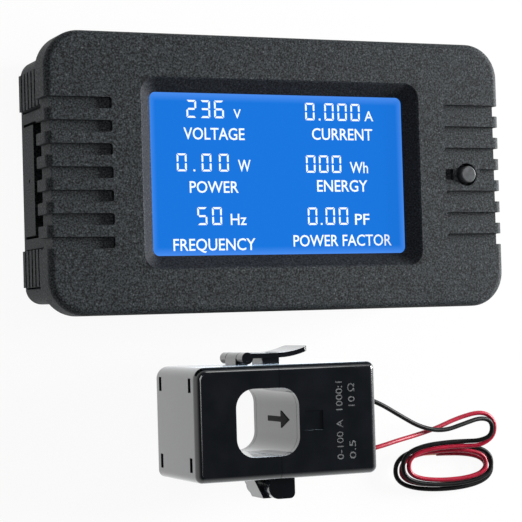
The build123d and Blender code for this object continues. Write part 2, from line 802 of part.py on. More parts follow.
def add_case_block(shell):
    """Add the outer block of the whole transformer, its long edges and corners rounded."""
    with BuildSketch(at_case(0)) as outline:
        with Locations((case_width / 2, case_height / 2)):
            Rectangle(case_width, case_height)
        corners = outline.vertices().group_by(Axis.X)
        fillet(corners[0].sort_by(Axis.Y)[-1], case_top_left_radius)
        fillet(outline.vertices().group_by(Axis.X)[0].sort_by(Axis.Y)[0], case_corner_radius)
        fillet(outline.vertices().group_by(Axis.X)[-1], case_corner_radius)
    extrude(outline.sketch, amount=case_depth)
    ends = shell.faces().sort_by(Axis.Z)
    fillet(ends[0].edges() + ends[-1].edges(), case_edge_radius)


def cut_cavity(left, right):
    """Hollow the shell between two places along it."""
    with BuildSketch(at_case(case_wall)) as outline:
        with Locations(((left + right) / 2, case_height / 2)):
            Rectangle(right - left, case_height - 2 * case_wall)
    extrude(outline.sketch, amount=case_depth - 2 * case_wall, mode=Mode.SUBTRACT)


def cut_cable_window():
    """Cut the rounded square that the cable passes through."""
    with BuildSketch(at_case(0)) as outline:
        with Locations((window_x, window_y)):
            RectangleRounded(cable_window, cable_window, cable_window_radius)
    extrude(outline.sketch, amount=case_depth, mode=Mode.SUBTRACT)


def add_liner_ring():
    """Add the wall of the cable window, between the front and back of the shell."""
    with BuildSketch(at_case(liner_low)) as outline:
        with Locations((window_x, window_y)):
            RectangleRounded(liner_size, liner_size, liner_radius)
    extrude(outline.sketch, amount=liner_depth)


def add_split_ribs(left, right):
    """Add the two ribs that close the shell at the split, open in the middle for the core."""
    rib_height = window_y - liner_size / 2 - cavity_low
    with BuildSketch(at_case(liner_low)) as outline:
        with Locations(((left + right) / 2, cavity_low + (rib_height + liner_clearance) / 2),
                       ((left + right) / 2, cavity_high - (rib_height + liner_clearance) / 2)):
            Rectangle(right - left, rib_height - liner_clearance)
        with Locations(((left + right) / 2, window_y - liner_size / 2 + liner_wall / 2),
                       ((left + right) / 2, window_y + liner_size / 2 - liner_wall / 2)):
            Rectangle(right - left, liner_wall)
    extrude(outline.sketch, amount=liner_depth)


def cut_core_arms(left, right):
    """Clear the way of the core's two arms through the ribs."""
    with BuildSketch(at_case(core_low - core_clearance)) as outline:
        for low in (arm_low_y, arm_high_y):
            with Locations(((left + right) / 2, low + core_thickness / 2)):
                Rectangle(right - left, core_thickness + 2 * core_clearance)
    extrude(outline.sketch, amount=core_depth + 2 * core_clearance, mode=Mode.SUBTRACT)


def add_core(leg_left, arm_left, arm_right):
    """Add a C-shaped core: one leg across the case and two arms to the split."""
    with BuildSketch(at_case(core_low)) as outline:
        with Locations((leg_left + core_leg / 2, case_height / 2)):
            Rectangle(core_leg, arm_high_y + core_thickness - arm_low_y)
        for low in (arm_low_y, arm_high_y):
            with Locations(((arm_left + arm_right) / 2, low + core_thickness / 2)):
                Rectangle(arm_right - arm_left, core_thickness)
    extrude(outline.sketch, amount=core_depth)


def add_knuckle(low, high):
    """Add a hinge knuckle round the pin, between two heights."""
    with BuildSketch(at_case(low)) as outline:
        with Locations((hinge_x, -knuckle_radius)):
            Circle(knuckle_radius)
    extrude(outline.sketch, amount=high - low)


def cut_round(x, y, low, high, radius):
    """Cut a round hole along the transformer's depth."""
    with BuildSketch(at_case(low)) as outline:
        with Locations((x, y)):
            Circle(radius)
    extrude(outline.sketch, amount=high - low, mode=Mode.SUBTRACT)


# Fixed half of the case, with the hinge ears, the catch for the latch and the lead holes
ear_low = mid_depth - knuckle_span / 2
ear_high = mid_depth + knuckle_span / 2
knuckle_low = mid_depth - knuckle_middle / 2
knuckle_high = mid_depth + knuckle_middle / 2
lead_exits = {"black": case_height - black_exit_drop, "red": case_height - red_exit_drop}

with BuildPart() as transformer_case:
    add_case_block(transformer_case)
    cut_cavity(case_wall, case_width - case_wall)
    cut_cable_window()
    split(bisect_by=Plane(origin=(case_left + fixed_face, 0, 0), z_dir=(1, 0, 0)), keep=Keep.TOP)
    # hinge ears with rounded right corners, either side of the jaw's knuckle
    for low, high in ((ear_low, knuckle_low - knuckle_gap), (knuckle_high + knuckle_gap, ear_high)):
        with BuildSketch(at_case(low)):
            with Locations(((hinge_x + knuckle_end) / 2, -knuckle_radius)):
                Rectangle(knuckle_end - hinge_x, 2 * knuckle_radius)
            with Locations((hinge_x, -knuckle_radius)):
                Circle(knuckle_radius)
            with Locations(((hinge_x + fixed_face) / 2 + knuckle_radius / 2, -knuckle_radius / 2)):
                Rectangle(hinge_x - fixed_face + knuckle_radius, knuckle_radius)
        extrude(amount=high - low)
    fillet(transformer_case.edges().filter_by(Axis.Z).group_by(Axis.Y)[0].sort_by(Axis.X)[-2:],
           knuckle_radius / 2)
    cut_round(hinge_x, -knuckle_radius, ear_low, ear_high, hinge_pin_radius)
    # catch post that the strap's window drops over
    with BuildSketch(at_case(mid_depth - catch_span / 2)):
        with Locations(((catch_left + catch_right) / 2, case_height + strap_top / 2)):
            Rectangle(catch_right - catch_left, strap_top)
    extrude(amount=catch_span)
    with BuildSketch(at_case(mid_depth - catch_notch / 2)):
        with Locations((catch_left + 2 * catch_notch, case_height + strap_top - catch_notch_depth / 2)):
            Rectangle(catch_notch, catch_notch_depth)
    extrude(amount=catch_notch, mode=Mode.SUBTRACT)
    # shallow square beside the window
    with BuildSketch(at_case(case_depth)):
        with Locations((cable_window_left + cable_window + relief_gap + relief_size / 2, window_y)):
            Rectangle(relief_size, relief_size)
    extrude(amount=-relief_depth, mode=Mode.SUBTRACT)
    with BuildSketch(case_side(case_width - case_wall)):
        with Locations(*[(y, lead_height) for y in lead_exits.values()]):
            Circle(lead_diameter / 2 + lead_hole_clearance)
    extrude(amount=case_wall, mode=Mode.SUBTRACT)
transformer_case.part.label = "transformer_case"
export_step(transformer_case.part, "parts/transformer_case.step")

with BuildPart() as case_liner:
    add_liner_ring()
    add_split_ribs(fixed_face, fixed_face + rib_thickness)
    cut_core_arms(fixed_face, fixed_face + 2 * core_leg)
    cut_cable_window()
    split(bisect_by=Plane(origin=(case_left + fixed_face, 0, 0), z_dir=(1, 0, 0)), keep=Keep.TOP)
case_liner.part.label = "case_liner"
export_step(case_liner.part, "parts/case_liner.step")

with BuildPart() as fixed_core:
    add_core(fixed_leg_x, fixed_face, fixed_leg_x + core_leg)
fixed_core.part.label = "fixed_core"
export_step(fixed_core.part, "parts/fixed_core.step")

# Jaw: its shell with four slots in the end, where the liner's hooks show
with BuildPart() as jaw_case:
    add_case_block(jaw_case)
    cut_cavity(case_wall, case_width - case_wall)
    cut_cable_window()
    split(bisect_by=Plane(origin=(case_left + jaw_face, 0, 0), z_dir=(1, 0, 0)), keep=Keep.BOTTOM)
    with BuildSketch(case_side(0)):
        with Locations(*[(y, z) for y in hook_rows for z in hook_heights]):
            Rectangle(hook_slot_height, hook_slot_width)
    extrude(amount=case_wall, mode=Mode.SUBTRACT)
    # arm under the jaw that reaches round the hinge pin
    with BuildSketch(at_case(knuckle_low)):
        with BuildLine():
            Polyline((knuckle_left, 0), (knuckle_left + knuckle_radius, -2 * knuckle_radius),
                     (hinge_x, -2 * knuckle_radius), (hinge_x, -knuckle_radius),
                     (jaw_face, 0), (knuckle_left, 0))
        make_face()
    extrude(amount=knuckle_middle)
    with BuildSketch(at_case(knuckle_low)):
        with Locations((hinge_x, -knuckle_radius)):
            Circle(knuckle_radius - knuckle_gap)
    extrude(amount=knuckle_middle)
    cut_round(hinge_x, -knuckle_radius, knuckle_low, knuckle_high, hinge_pin_radius + pin_clearance)
    # lug that carries the latch pin
    lug_low = mid_depth - latch_window / 2 + lug_gap
    lug_high = mid_depth + latch_window / 2 - lug_gap
    with BuildSketch(at_case(lug_low)):
        with Locations((latch_x, case_height + latch_rise)):
            Circle(latch_eye_radius)
        with Locations((latch_x, case_height + latch_rise / 2)):
            Rectangle(lug_width, latch_rise)
    extrude(amount=lug_high - lug_low)
    cut_round(latch_x, case_height + latch_rise, lug_low, lug_high, latch_pin_radius)
jaw_case.part.label = "jaw_case"
export_step(jaw_case.part, "parts/jaw_case.step")

with BuildPart() as jaw_liner:
    add_liner_ring()
    add_split_ribs(jaw_face - rib_thickness, jaw_face)
    with BuildSketch(case_side(hook_recess)):
        with Locations(*[(y, z) for y in hook_rows for z in hook_heights]):
            Rectangle(hook_slot_height - 2 * hook_clearance, hook_slot_width - 2 * hook_clearance)
    extrude(amount=jaw_face - rib_thickness - hook_recess)
    cut_core_arms(jaw_leg_x - core_leg, jaw_face)
    cut_cable_window()
    split(bisect_by=Plane(origin=(case_left + jaw_face, 0, 0), z_dir=(1, 0, 0)), keep=Keep.BOTTOM)
jaw_liner.part.label = "jaw_liner"
export_step(jaw_liner.part, "parts/jaw_liner.step")

with BuildPart() as moving_core:
    add_core(jaw_leg_x, jaw_leg_x, jaw_face)
moving_core.part.label = "moving_core"
export_step(moving_core.part, "parts/moving_core.step")

# Foam pad that presses the moving core against the fixed one
with BuildPart() as core_pad:
    with BuildSketch(at_case(core_low + pad_margin)):
        with Locations(((case_wall + jaw_leg_x) / 2, case_height / 2)):
            Rectangle(jaw_leg_x - case_wall, liner_size)
    extrude(amount=core_depth - 2 * pad_margin)
core_pad.part.label = "core_pad"
export_step(core_pad.part, "parts/core_pad.step")

# Bobbin and winding round the leg of the fixed core
leg_x = fixed_leg_x + core_leg / 2
bobbin_low = arm_low_y + core_thickness + bobbin_gap
bobbin_high = arm_high_y - bobbin_gap
sleeve_width = core_leg + 2 * (bobbin_gap + bobbin_wall)
sleeve_depth = core_depth + 2 * (bobbin_gap + bobbin_wall)


def case_level(y):
    """Plane across the transformer at a height above its underside; local x is world z."""
    return Plane(origin=(case_left + leg_x, case_bottom + y, mid_depth), x_dir=(0, 0, 1), z_dir=(0, 1, 0))


with BuildPart() as winding_bobbin:
    with BuildSketch(case_level(bobbin_low)):
        Rectangle(sleeve_depth, sleeve_width)
    extrude(amount=bobbin_high - bobbin_low)
    for y in (bobbin_low, bobbin_high - bobbin_flange):
        with BuildSketch(case_level(y)):
            RectangleRounded(sleeve_depth + 2 * winding_thickness, sleeve_width + 2 * winding_thickness,
                             winding_thickness)
        extrude(amount=bobbin_flange)
    with BuildSketch(case_level(bobbin_low)):
        Rectangle(core_depth + 2 * bobbin_gap, core_leg + 2 * bobbin_gap)
    extrude(amount=bobbin_high - bobbin_low, mode=Mode.SUBTRACT)
winding_bobbin.part.label = "winding_bobbin"
export_step(winding_bobbin.part, "parts/winding_bobbin.step")

with BuildPart() as winding:
    with BuildSketch(case_level(bobbin_low + bobbin_flange)):
        RectangleRounded(sleeve_depth + 2 * winding_thickness, sleeve_width + 2 * winding_thickness,
                         winding_thickness)
        Rectangle(sleeve_depth, sleeve_width, mode=Mode.SUBTRACT)
    extrude(amount=bobbin_high - bobbin_low - 2 * bobbin_flange)
winding.part.label = "winding"
export_step(winding.part, "parts/winding.step")

# Small board at the end of the fixed half, with the burden resistor and two clamp diodes
with BuildPart() as burden_board:
    with BuildSketch(case_side(burden_board_x)):
        with Locations((case_height / 2, mid_depth)):
            Rectangle(case_height - 2 * case_wall - 2 * board_margin,
                      case_depth - 2 * case_wall - 2 * board_margin)
    extrude(amount=burden_board_thickness)
burden_board.part.label = "burden_board"
export_step(burden_board.part, "parts/burden_board.step")

board_face = burden_board_x + burden_board_thickness
with BuildPart() as burden_resistor:
    with BuildSketch(case_side(board_face)):
        with Locations((between_leads, mid_depth)):
            Rectangle(resistor_chip_width, resistor_chip_length)
    extrude(amount=resistor_chip_height)
burden_resistor.part.label = "burden_resistor"
export_step(burden_resistor.part, "parts/burden_resistor.step")

with BuildPart() as clamp_diodes:
    with BuildSketch(case_side(board_face)):
        with Locations(*[(between_leads, mid_depth + side * diode_chip_offset) for side in (-1, 1)]):
            Rectangle(diode_chip_length, diode_chip_width)
    extrude(amount=diode_chip_height)
clamp_diodes.part.label = "clamp_diodes"
export_step(clamp_diodes.part, "parts/clamp_diodes.step")

# Hinge pin held in the two ears, and latch pin held in the lug
with BuildPart() as hinge_pin:
    with BuildSketch(at_case(ear_low)):
        with Locations((hinge_x, -knuckle_radius)):
            Circle(hinge_pin_radius)
    extrude(amount=ear_high - ear_low)
hinge_pin.part.label = "hinge_pin"
export_step(hinge_pin.part, "parts/hinge_pin.step")

strap_low = mid_depth - latch_span / 2
latch_y = case_height + latch_rise
with BuildPart() as latch_pin:
    with BuildSketch(at_case(strap_low)):
        with Locations((latch_x, latch_y)):
            Circle(latch_pin_radius)
    extrude(amount=latch_span)
latch_pin.part.label = "latch_pin"
export_step(latch_pin.part, "parts/latch_pin.step")

# Latch strap: two arms beside the catch, joined by a bar that curls up into a finger tab
strap_upper = case_height + strap_top
strap_lower = strap_upper - strap_thickness
tip_upper = case_height + strap_tip_rise
with BuildPart() as latch_strap:
    with BuildSketch(at_case(strap_low)):
        with BuildLine():
            Line((latch_x, strap_lower), (strap_bend_x, strap_lower))
            TangentArc((strap_bend_x, strap_lower), (strap_tip_x, tip_upper - strap_thickness), tangent=(1, 0))
            Line((strap_tip_x, tip_upper - strap_thickness), (strap_tip_x, tip_upper))
            TangentArc((strap_bend_x, strap_upper), (strap_tip_x, tip_upper), tangent=(1, 0))
            Line((strap_bend_x, strap_upper), (latch_x, strap_upper))
            Line((latch_x, strap_upper), (latch_x, strap_lower))
        make_face()
        with Locations((latch_x, latch_y)):
            Circle(latch_eye_radius)
    extrude(amount=latch_span)
    with BuildSketch(at_case(mid_depth - latch_window / 2)):
        with Locations((strap_bar_x / 2, latch_y)):
            Rectangle(strap_bar_x, 2 * latch_eye_radius)
    extrude(amount=latch_window, mode=Mode.SUBTRACT)
    cut_round(latch_x, latch_y, strap_low, strap_low + latch_span, latch_pin_radius + pin_clearance)
    fillet(latch_strap.edges().filter_by(Axis.Y).group_by(Axis.X)[-1], strap_corner_radius)
latch_strap.part.label = "latch_strap"
export_step(latch_strap.part, "parts/latch_strap.step")


# Leads
def coil_place(half_length, half_width, turns):
    """Point on a long flat coil after a number of turns, and the direction the lead takes there.

    A small share of the third harmonic squares the oval, which widens the bends at its two ends.
    """
    angle = math.pi / 2 + math.tau * turns
    square = coil_squareness * half_length
    across = half_length + square + coil_growth_x * turns
    along = half_width + coil_growth_y * turns
    place = Vector(coil_x + across * math.cos(angle) - square * math.cos(3 * angle),
                   coil_y - coil_drift * turns + along * math.sin(angle),
                   coil_top - coil_drop * turns)
    sideways = 3 * square * math.sin(3 * angle) - across * math.sin(angle)
    heading = Vector(coil_growth_x * math.cos(angle) + math.tau * sideways,
                     coil_growth_y * math.sin(angle) + math.tau * along * math.cos(angle) - coil_drift,
                     -coil_drop)
    return place, heading.normalized()


def arc_joint(start, start_heading, end, end_heading, end_step):
    """Point where two tangent arcs meet between two places, and the heading of the second arc.

    The step is how far the arc at the far end reaches along its own tangent before it turns.
    """
    chord = end - start
    slack = 1 - start_heading.dot(end_heading)
    start_step = ((chord.dot(chord) - 2 * end_step * chord.dot(end_heading))
                  / (2 * chord.dot(start_heading) + 2 * end_step * slack))
    first_knee = start + start_heading * start_step
    middle = end - end_heading * end_step - first_knee
    return first_knee + middle * (start_step / (start_step + end_step)), middle


def bend_radii(points):
    """Bend at each inner point of a route, as wide as 0.45 of its shorter run allows."""
    radii = []
    for before, here, after in zip(points, points[1:], points[2:]):
        arriving = here - before
        leaving = after - here
        half_turn = math.radians(arriving.get_angle(leaving) / 2)
        radii.append(0.45 * min(arriving.length, leaving.length) / math.tan(half_turn))
    return radii


def build_stretch(label, points):
    """Sweep the free stretch of a lead along straight runs and tangent arcs."""
    radii = bend_radii(points)
    with BuildPart() as stretch:
        with BuildLine() as path:
            FilletPolyline(*points, radius=radii)
        with BuildSketch(Plane(origin=points[0], z_dir=points[1] - points[0])):
            Circle(lead_diameter / 2)
        sweep()
    length = path.wire().length
    section = math.pi * (lead_diameter / 2) ** 2
    print(label, "length", round(length, 1), "least radius", round(min(radii), 2),
          "volume ratio", round(stretch.part.volume / (section * length), 4))
    stretch.part.label = label
    export_step(stretch.part, f"parts/{label}.step")


def build_coil(label, half_length, half_width):
    """Sweep the coiled rest of a lead, straight for one diameter at both ends."""
    stations = [coil_place(half_length, half_width, quarter / 4) for quarter in range(4 * coil_turns + 1)]
    first, first_heading = stations[0]
    last, last_heading = stations[-1]
    end_step = coil_end_step * half_width
    with BuildPart() as coil:
        with BuildLine() as path:
            Line(first - first_heading * lead_diameter, first)
            for side, next_side in zip(range(0, len(stations), 2), range(2, len(stations), 2)):
                flat, flat_heading = stations[side]
                bend, bend_heading = stations[side + 1]
                far, far_heading = stations[next_side]
                joint, joint_heading = arc_joint(flat, flat_heading, bend, bend_heading, end_step)
                TangentArc(flat, joint, tangent=flat_heading)
                TangentArc(joint, bend, tangent=joint_heading)
                joint, joint_heading = arc_joint(far, -far_heading, bend, -bend_heading, end_step)
                TangentArc(bend, joint, tangent=bend_heading)
                TangentArc(joint, far, tangent=-joint_heading)
            Line(last, last + last_heading * lead_diameter)
        with BuildSketch(Plane(origin=first - first_heading * lead_diameter, z_dir=first_heading)):
            Circle(lead_diameter / 2)
        sweep()
    length = path.wire().length
    section = math.pi * (lead_diameter / 2) ** 2
    steps = 60
    places = [coil_place(half_length, half_width, step / steps)[0] for step in range(coil_turns * steps + 1)]
    gap = min((far - near).length for index, near in enumerate(places)
              for far in places[index + steps // 2:]) - lead_diameter
    print(label, "length", round(length, 1), "gap to itself", round(gap, 2),
          "volume ratio", round(coil.part.volume / (section * length), 4))
    coil.part.label = label
    export_step(coil.part, f"parts/{label}.step")


def build_tip(label, half_length, half_width):
    """Sweep the bare conductor at the end of a lead."""
    last, heading = coil_place(half_length, half_width, coil_turns)
    with BuildPart() as tip:
        with BuildSketch(Plane(origin=last + heading * lead_diameter, z_dir=heading)):
            Circle(conductor_diameter / 2)
        extrude(amount=tip_length)
    tip.part.label = label
    export_step(tip.part, f"parts/{label}.step")


lead_start_x = case_left + board_face
black_half_length = 9.9
black_half_width = 4.0
red_half_length = 8.6
red_half_width = 3.05
black_route = [
    (lead_start_x, case_bottom + lead_exits["black"], lead_height),
    (19.7, case_bottom + lead_exits["black"], lead_height),
    (24.4, -25.6, 10.2),
    (29.4, -28.3, 9.2),
    (34.6, -31.0, 8.2),
    (39.9, -32.0, 7.5),
    (45.0, -30.8, 6.8),
    (49.4, -29.8, 6.0),
    (52.2, -30.7, 5.6),
    (52.2, -33.6, 5.2),
    (49.6, -34.5, 4.7),
]
red_route = [
    (lead_start_x, case_bottom + lead_exits["red"], lead_height),
    (19.7, case_bottom + lead_exits["red"], lead_height),
    (24.4, -34.1, 10.0),
    (29.2, -33.2, 8.6),
    (34.0, -32.5, 7.1),
    (39.0, -31.5, 5.9),
    (44.6, -29.7, 5.0),
    (50.3, -28.6, 4.8),
    (53.3, -30.4, 4.6),
    (53.3, -33.7, 4.4),
    (50.3, -35.5, 4.1),
]
for colour, route, half_length, half_width in (
        ("black", black_route, black_half_length, black_half_width),
        ("red", red_route, red_half_length, red_half_width)):
    coil_start, coil_heading = coil_place(half_length, half_width, 0)
    stub_start = coil_start - coil_heading * lead_diameter
    build_stretch(f"{colour}_lead",
                  [Vector(*point) for point in route]
                  + [stub_start - coil_heading * coil_lead_in, stub_start])
    build_coil(f"{colour}_lead_coil", half_length, half_width)
    build_tip(f"{colour}_lead_tip", half_length, half_width)
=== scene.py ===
# %% [markdown]
# A panel power meter lies face up on its back, and the small clamp-on transformer that feeds it
# lies beside it with its two leads coiled on the table. The engineering solids come in first, as a
# frame that stays where it is. Everything after that gives them their looks.

# %% Load the solids
import math

import bpy
import numpy as np
from mathutils import Matrix, Vector


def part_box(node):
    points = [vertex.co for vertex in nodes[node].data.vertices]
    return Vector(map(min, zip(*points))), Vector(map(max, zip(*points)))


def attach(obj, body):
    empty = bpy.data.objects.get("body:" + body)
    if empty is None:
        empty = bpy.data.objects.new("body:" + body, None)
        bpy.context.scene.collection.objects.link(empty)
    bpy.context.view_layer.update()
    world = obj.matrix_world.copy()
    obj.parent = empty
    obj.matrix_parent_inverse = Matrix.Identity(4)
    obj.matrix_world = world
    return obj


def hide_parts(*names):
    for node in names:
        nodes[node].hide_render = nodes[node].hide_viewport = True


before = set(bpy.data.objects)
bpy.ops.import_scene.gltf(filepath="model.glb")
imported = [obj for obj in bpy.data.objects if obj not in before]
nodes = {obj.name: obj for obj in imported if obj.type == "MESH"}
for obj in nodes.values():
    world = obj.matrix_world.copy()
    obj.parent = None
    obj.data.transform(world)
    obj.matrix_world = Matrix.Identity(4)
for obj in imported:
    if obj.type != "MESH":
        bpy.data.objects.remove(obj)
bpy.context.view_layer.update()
MM = 0.001

# %% [markdown]
# The photograph looks down on the meter's face from its left, almost level with its long axis. A
# camera could be aimed at a target, but a solved position with three turns keeps the slight roll
# of the picture too. A long lens keeps the bezel's edges nearly parallel.

# %% Camera
camera_place = Vector((-133.47, -8.94, 321.28)) * MM
camera_yaw = math.radians(23.325)
camera_pitch = math.radians(-1.851)
camera_roll = math.radians(1.644)

camera_data = bpy.data.cameras.new("photo_camera")
camera_data.lens = 124.46
camera_data.sensor_width = 36
camera = bpy.data.objects.new("photo_camera", camera_data)
bpy.context.scene.collection.objects.link(camera)
turn = Matrix.Rotation(-camera_yaw, 4, "Y") @ Matrix.Rotation(-camera_pitch, 4, "X")
turn = turn @ Matrix.Rotation(-camera_roll, 4, "Z")
camera.matrix_world = Matrix.Translation(camera_place) @ turn
bpy.context.scene.camera = camera
print("camera height", round(camera_place.z, 3))

# %% [markdown]
# Each lead is a thin stranded wire in soft insulation. It leaves the end of the transformer, sags
# towards the table, turns back and lies in two loose turns. The sagging part has points given one
# by one, in millimetres, and the turns come from a formula, with a short straight run before and
# after them.

# %% The coil's formula
coil_turns = 2
points_per_turn = 16
coil_middle_x = 43.0
coil_middle_y = -38.5
coil_top = 3.67
fall_per_turn = 1.6
longer_per_turn = 0.9
wider_per_turn = 0.15
drift_per_turn = 0.9
squareness = 0.08


def coil_points(half_length, half_width):
    """Points of a long flat coil that sinks as it turns.

    Along x: the half length and its square share, times the cosine, less that share times the
    cosine of three times the angle, which squares the oval. Along y: the half width times the
    sine. Both grow with the turns, while the middle drifts and the height falls.
    """
    turns = np.arange(coil_turns * points_per_turn + 1) / points_per_turn
    angle = math.pi / 2 + 2 * math.pi * turns
    square = squareness * half_length
    long_way = (half_length + square + longer_per_turn * turns) * np.cos(angle)
    short_way = (half_width + wider_per_turn * turns) * np.sin(angle)
    x = coil_middle_x + long_way - square * np.cos(3 * angle)
    y = coil_middle_y + short_way - drift_per_turn * turns
    return np.stack([x, y, coil_top - fall_per_turn * turns], axis=1)


print("coil points", len(coil_points(1, 1)))

# %% Routes of the two leads
run_in = 4.1
run_out = 0.9


def whole_route(stretch, half_length, half_width):
    """The free stretch, then the coil, with one straight bit along x before it and one after."""
    coil = coil_points(half_length, half_width)
    way_in = np.sign(coil[1] - coil[0]) * [1, 0, 0]
    way_out = np.sign(coil[-1] - coil[-2]) * [1, 0, 0]
    return np.vstack([stretch, coil[0] - run_in * way_in, coil, coil[-1] + run_out * way_out]) * MM


black_stretch = [
    (15.1, -23.975, 10.6), (19.7, -23.975, 10.6), (24.4, -25.6, 10.2), (29.4, -28.3, 9.2),
    (34.6, -31.0, 8.2), (39.9, -32.0, 7.5), (45.0, -30.8, 6.8), (49.4, -29.8, 6.0),
    (52.2, -30.7, 5.6), (52.2, -33.6, 5.2), (49.6, -34.5, 4.7),
]
red_stretch = [
    (15.1, -34.775, 10.6), (19.7, -34.775, 10.6), (24.4, -34.1, 10.0), (29.2, -33.2, 8.6),
    (34.0, -32.5, 7.1), (39.0, -31.5, 5.9), (44.6, -29.7, 5.0), (50.3, -28.6, 4.8),
    (53.3, -30.4, 4.6), (53.3, -33.7, 4.4), (50.3, -35.5, 4.1),
]
black_route = whole_route(black_stretch, 9.9, 4.0)
red_route = whole_route(red_stretch, 8.6, 3.05)
print("route points", len(black_route), len(red_route))

# %% [markdown]
# A mesh tube could follow such a route, but a NURBS spline with a round bevel is smooth by itself:
# the points pull it along, and it cuts their corners. Blender adds each point's own radius to a
# curve's bounds, and that radius is a metre unless it is set, so here it is the lead's radius and
# the bevel is one times it.

# %% Both leads on the transformer
lead_diameter = 0.9 * MM


def make_lead(name, route, solids):
    """A smooth round cord whose NURBS spline has the route as its control points."""
    curve = bpy.data.curves.new(name, "CURVE")
    curve.dimensions = "3D"
    spline = curve.splines.new("NURBS")
    spline.points.add(len(route) - 1)
    spline.points.foreach_set("co", np.column_stack([route, np.ones(len(route))]).ravel())
    spline.points.foreach_set("radius", np.full(len(route), lead_diameter / 2))
    spline.order_u = 3
    spline.use_endpoint_u = True
    spline.resolution_u = 6
    curve.bevel_depth = 1
    curve.bevel_resolution = 4
    curve.use_fill_caps = True
    lead = bpy.data.objects.new(name, curve)
    bpy.context.scene.collection.objects.link(lead)
    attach(lead, "transformer")
    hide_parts(*solids)
    return lead


black_lead = make_lead("black_wire", black_route, ["black_lead", "black_lead_coil"])
red_lead = make_lead("red_wire", red_route, ["red_lead", "red_lead_coil"])
print("leads", black_lead.name, red_lead.name)

# %% [markdown]
# The end of each lead is stripped, and its fine copper strands are twisted together. Seven thin
# curves would do it, but one surface whose radius ripples round it, with the ripple turning along
# the length, looks the same at this size. It is a grid of points, with faces between them.

# %% Surface from a grid


def grid_mesh(name, points, body):
    """A mesh from a grid of points: rows along it, and columns round it that join up again."""
    rows, columns = points.shape[:2]
    index = np.arange(rows * columns).reshape(rows, columns)
    index = np.hstack([index, index[:, :1]])
    faces = np.stack([index[:-1, :-1], index[:-1, 1:], index[1:, 1:], index[1:, :-1]], axis=-1)
    mesh = bpy.data.meshes.new(name)
    mesh.from_pydata(points.reshape(-1, 3), [], faces.reshape(-1, 4).tolist())
    mesh.shade_smooth()
    piece = bpy.data.objects.new(name, mesh)
    bpy.context.scene.collection.objects.link(piece)
    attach(piece, body)
    print("grid", name, rows, "by", columns)
    return piece


# %% Bare strands
strip_length = 5
bundle_radius = 0.225
ridge_height = 0.02
strands = 7
tip_rows = 25
tip_columns = 42


def strand_tip(name, start, heading):
    """A twisted bundle: a round bar with one low ridge for each strand.

    The radius is the bundle's, plus the ridge height times the size of a sine whose angle goes
    round half as many times as there are strands. That angle also gains half a turn over the
    length, and the radius is nothing at both ends, which closes them.
    """
    along = np.linspace(0, 1, tip_rows)[:, None]
    angle = np.linspace(0, 2 * math.pi, tip_columns, endpoint=False)[None, :]
    ridge = np.abs(np.sin(strands / 2 * (angle + math.pi * along)))
    radius = (bundle_radius + ridge_height * ridge) * MM * ((along > 0) & (along < 1))
    heading = Vector(heading).normalized()
    side = heading.cross(Vector((0, 0, 1))).normalized()
    up = side.cross(heading)
    axis = np.array(start) + along * strip_length * MM * np.array(heading)
    ring = np.cos(angle)[..., None] * np.array(side) + np.sin(angle)[..., None] * np.array(up)
    return grid_mesh(name, axis[:, None, :] + radius[..., None] * ring, "transformer")


black_tip = strand_tip("black_strands", black_route[-1], black_route[-1] - black_route[-2])
red_tip = strand_tip("red_strands", red_route[-1], red_route[-1] - red_route[-2])
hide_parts("black_lead_tip")
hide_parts("red_lead_tip")

# %% Names of the leads
print("cords", black_lead.name, red_lead.name)

# %% [markdown]
# Shaders are built from nodes, and a few kinds come back again and again: a sum, a ramp of
# colours, the three axes of a place, a mix of two shaders. Each gets a short helper, so that the
# recipes below stay readable.

# %% Helpers for nodes


def add_math(tree, operation, *values):
    """A Math node whose inputs are numbers or what other nodes give. It gives its result."""
    node = tree.nodes.new("ShaderNodeMath")
    node.operation = operation
    for socket, value in zip(node.inputs, values):
        if isinstance(value, bpy.types.NodeSocket):
            tree.links.new(value, socket)
        else:
            socket.default_value = value
    return node.outputs[0]


def add_ramp(tree, share, stops, interpolation="LINEAR"):
    """A ramp through colours, each with its place between nothing and one, read at a share."""
    node = tree.nodes.new("ShaderNodeValToRGB")
    ramp = node.color_ramp
    ramp.interpolation = interpolation
    for element, (place, colour) in zip(ramp.elements, stops):
        element.position = place
        element.color = (*colour, 1)
    for place, colour in stops[2:]:
        ramp.elements.new(place).color = (*colour, 1)
    tree.links.new(share, node.inputs["Fac"])
    return node.outputs["Color"]


def split_axes(tree, place):
    """The three axes of a place, by their letters."""
    axes = tree.nodes.new("ShaderNodeSeparateXYZ")
    tree.links.new(place, axes.inputs[0])
    return axes.outputs


def mix_shaders(tree, share, first, second, output):
    """The first shader where the share is nothing and the second where it is one, to an output."""
    mix = tree.nodes.new("ShaderNodeMixShader")
    for value, socket in zip((share, first.outputs[0], second.outputs[0]), mix.inputs):
        tree.links.new(value, socket)
    tree.links.new(mix.outputs[0], output.inputs[0])


def seen_or_mirrored(tree):
    """One for rays from the camera, from mirrors and through clear pieces, and zero for others."""
    path = tree.nodes.new("ShaderNodeLightPath").outputs
    seen = add_math(tree, "MAXIMUM", path["Is Camera Ray"], path["Is Transmission Ray"])
    return add_math(tree, "MAXIMUM", seen, path["Is Glossy Ray"])


# %% [markdown]
# The object stands on a white sheet in a studio whose walls are white and whose ceiling is dim. A
# plain white world would put a grey veil on every glossy face that looks up. This one is white at
# the height of the horizon and darkens overhead, so polished black stays black from the front. It
# lights the pieces at a fifth of the strength that it shows, and lamps give the rest.

# %% World
wall_white = (1, 1, 1)
ceiling_grey = (0.05, 0.053, 0.06)
lighting_strength = 0.18

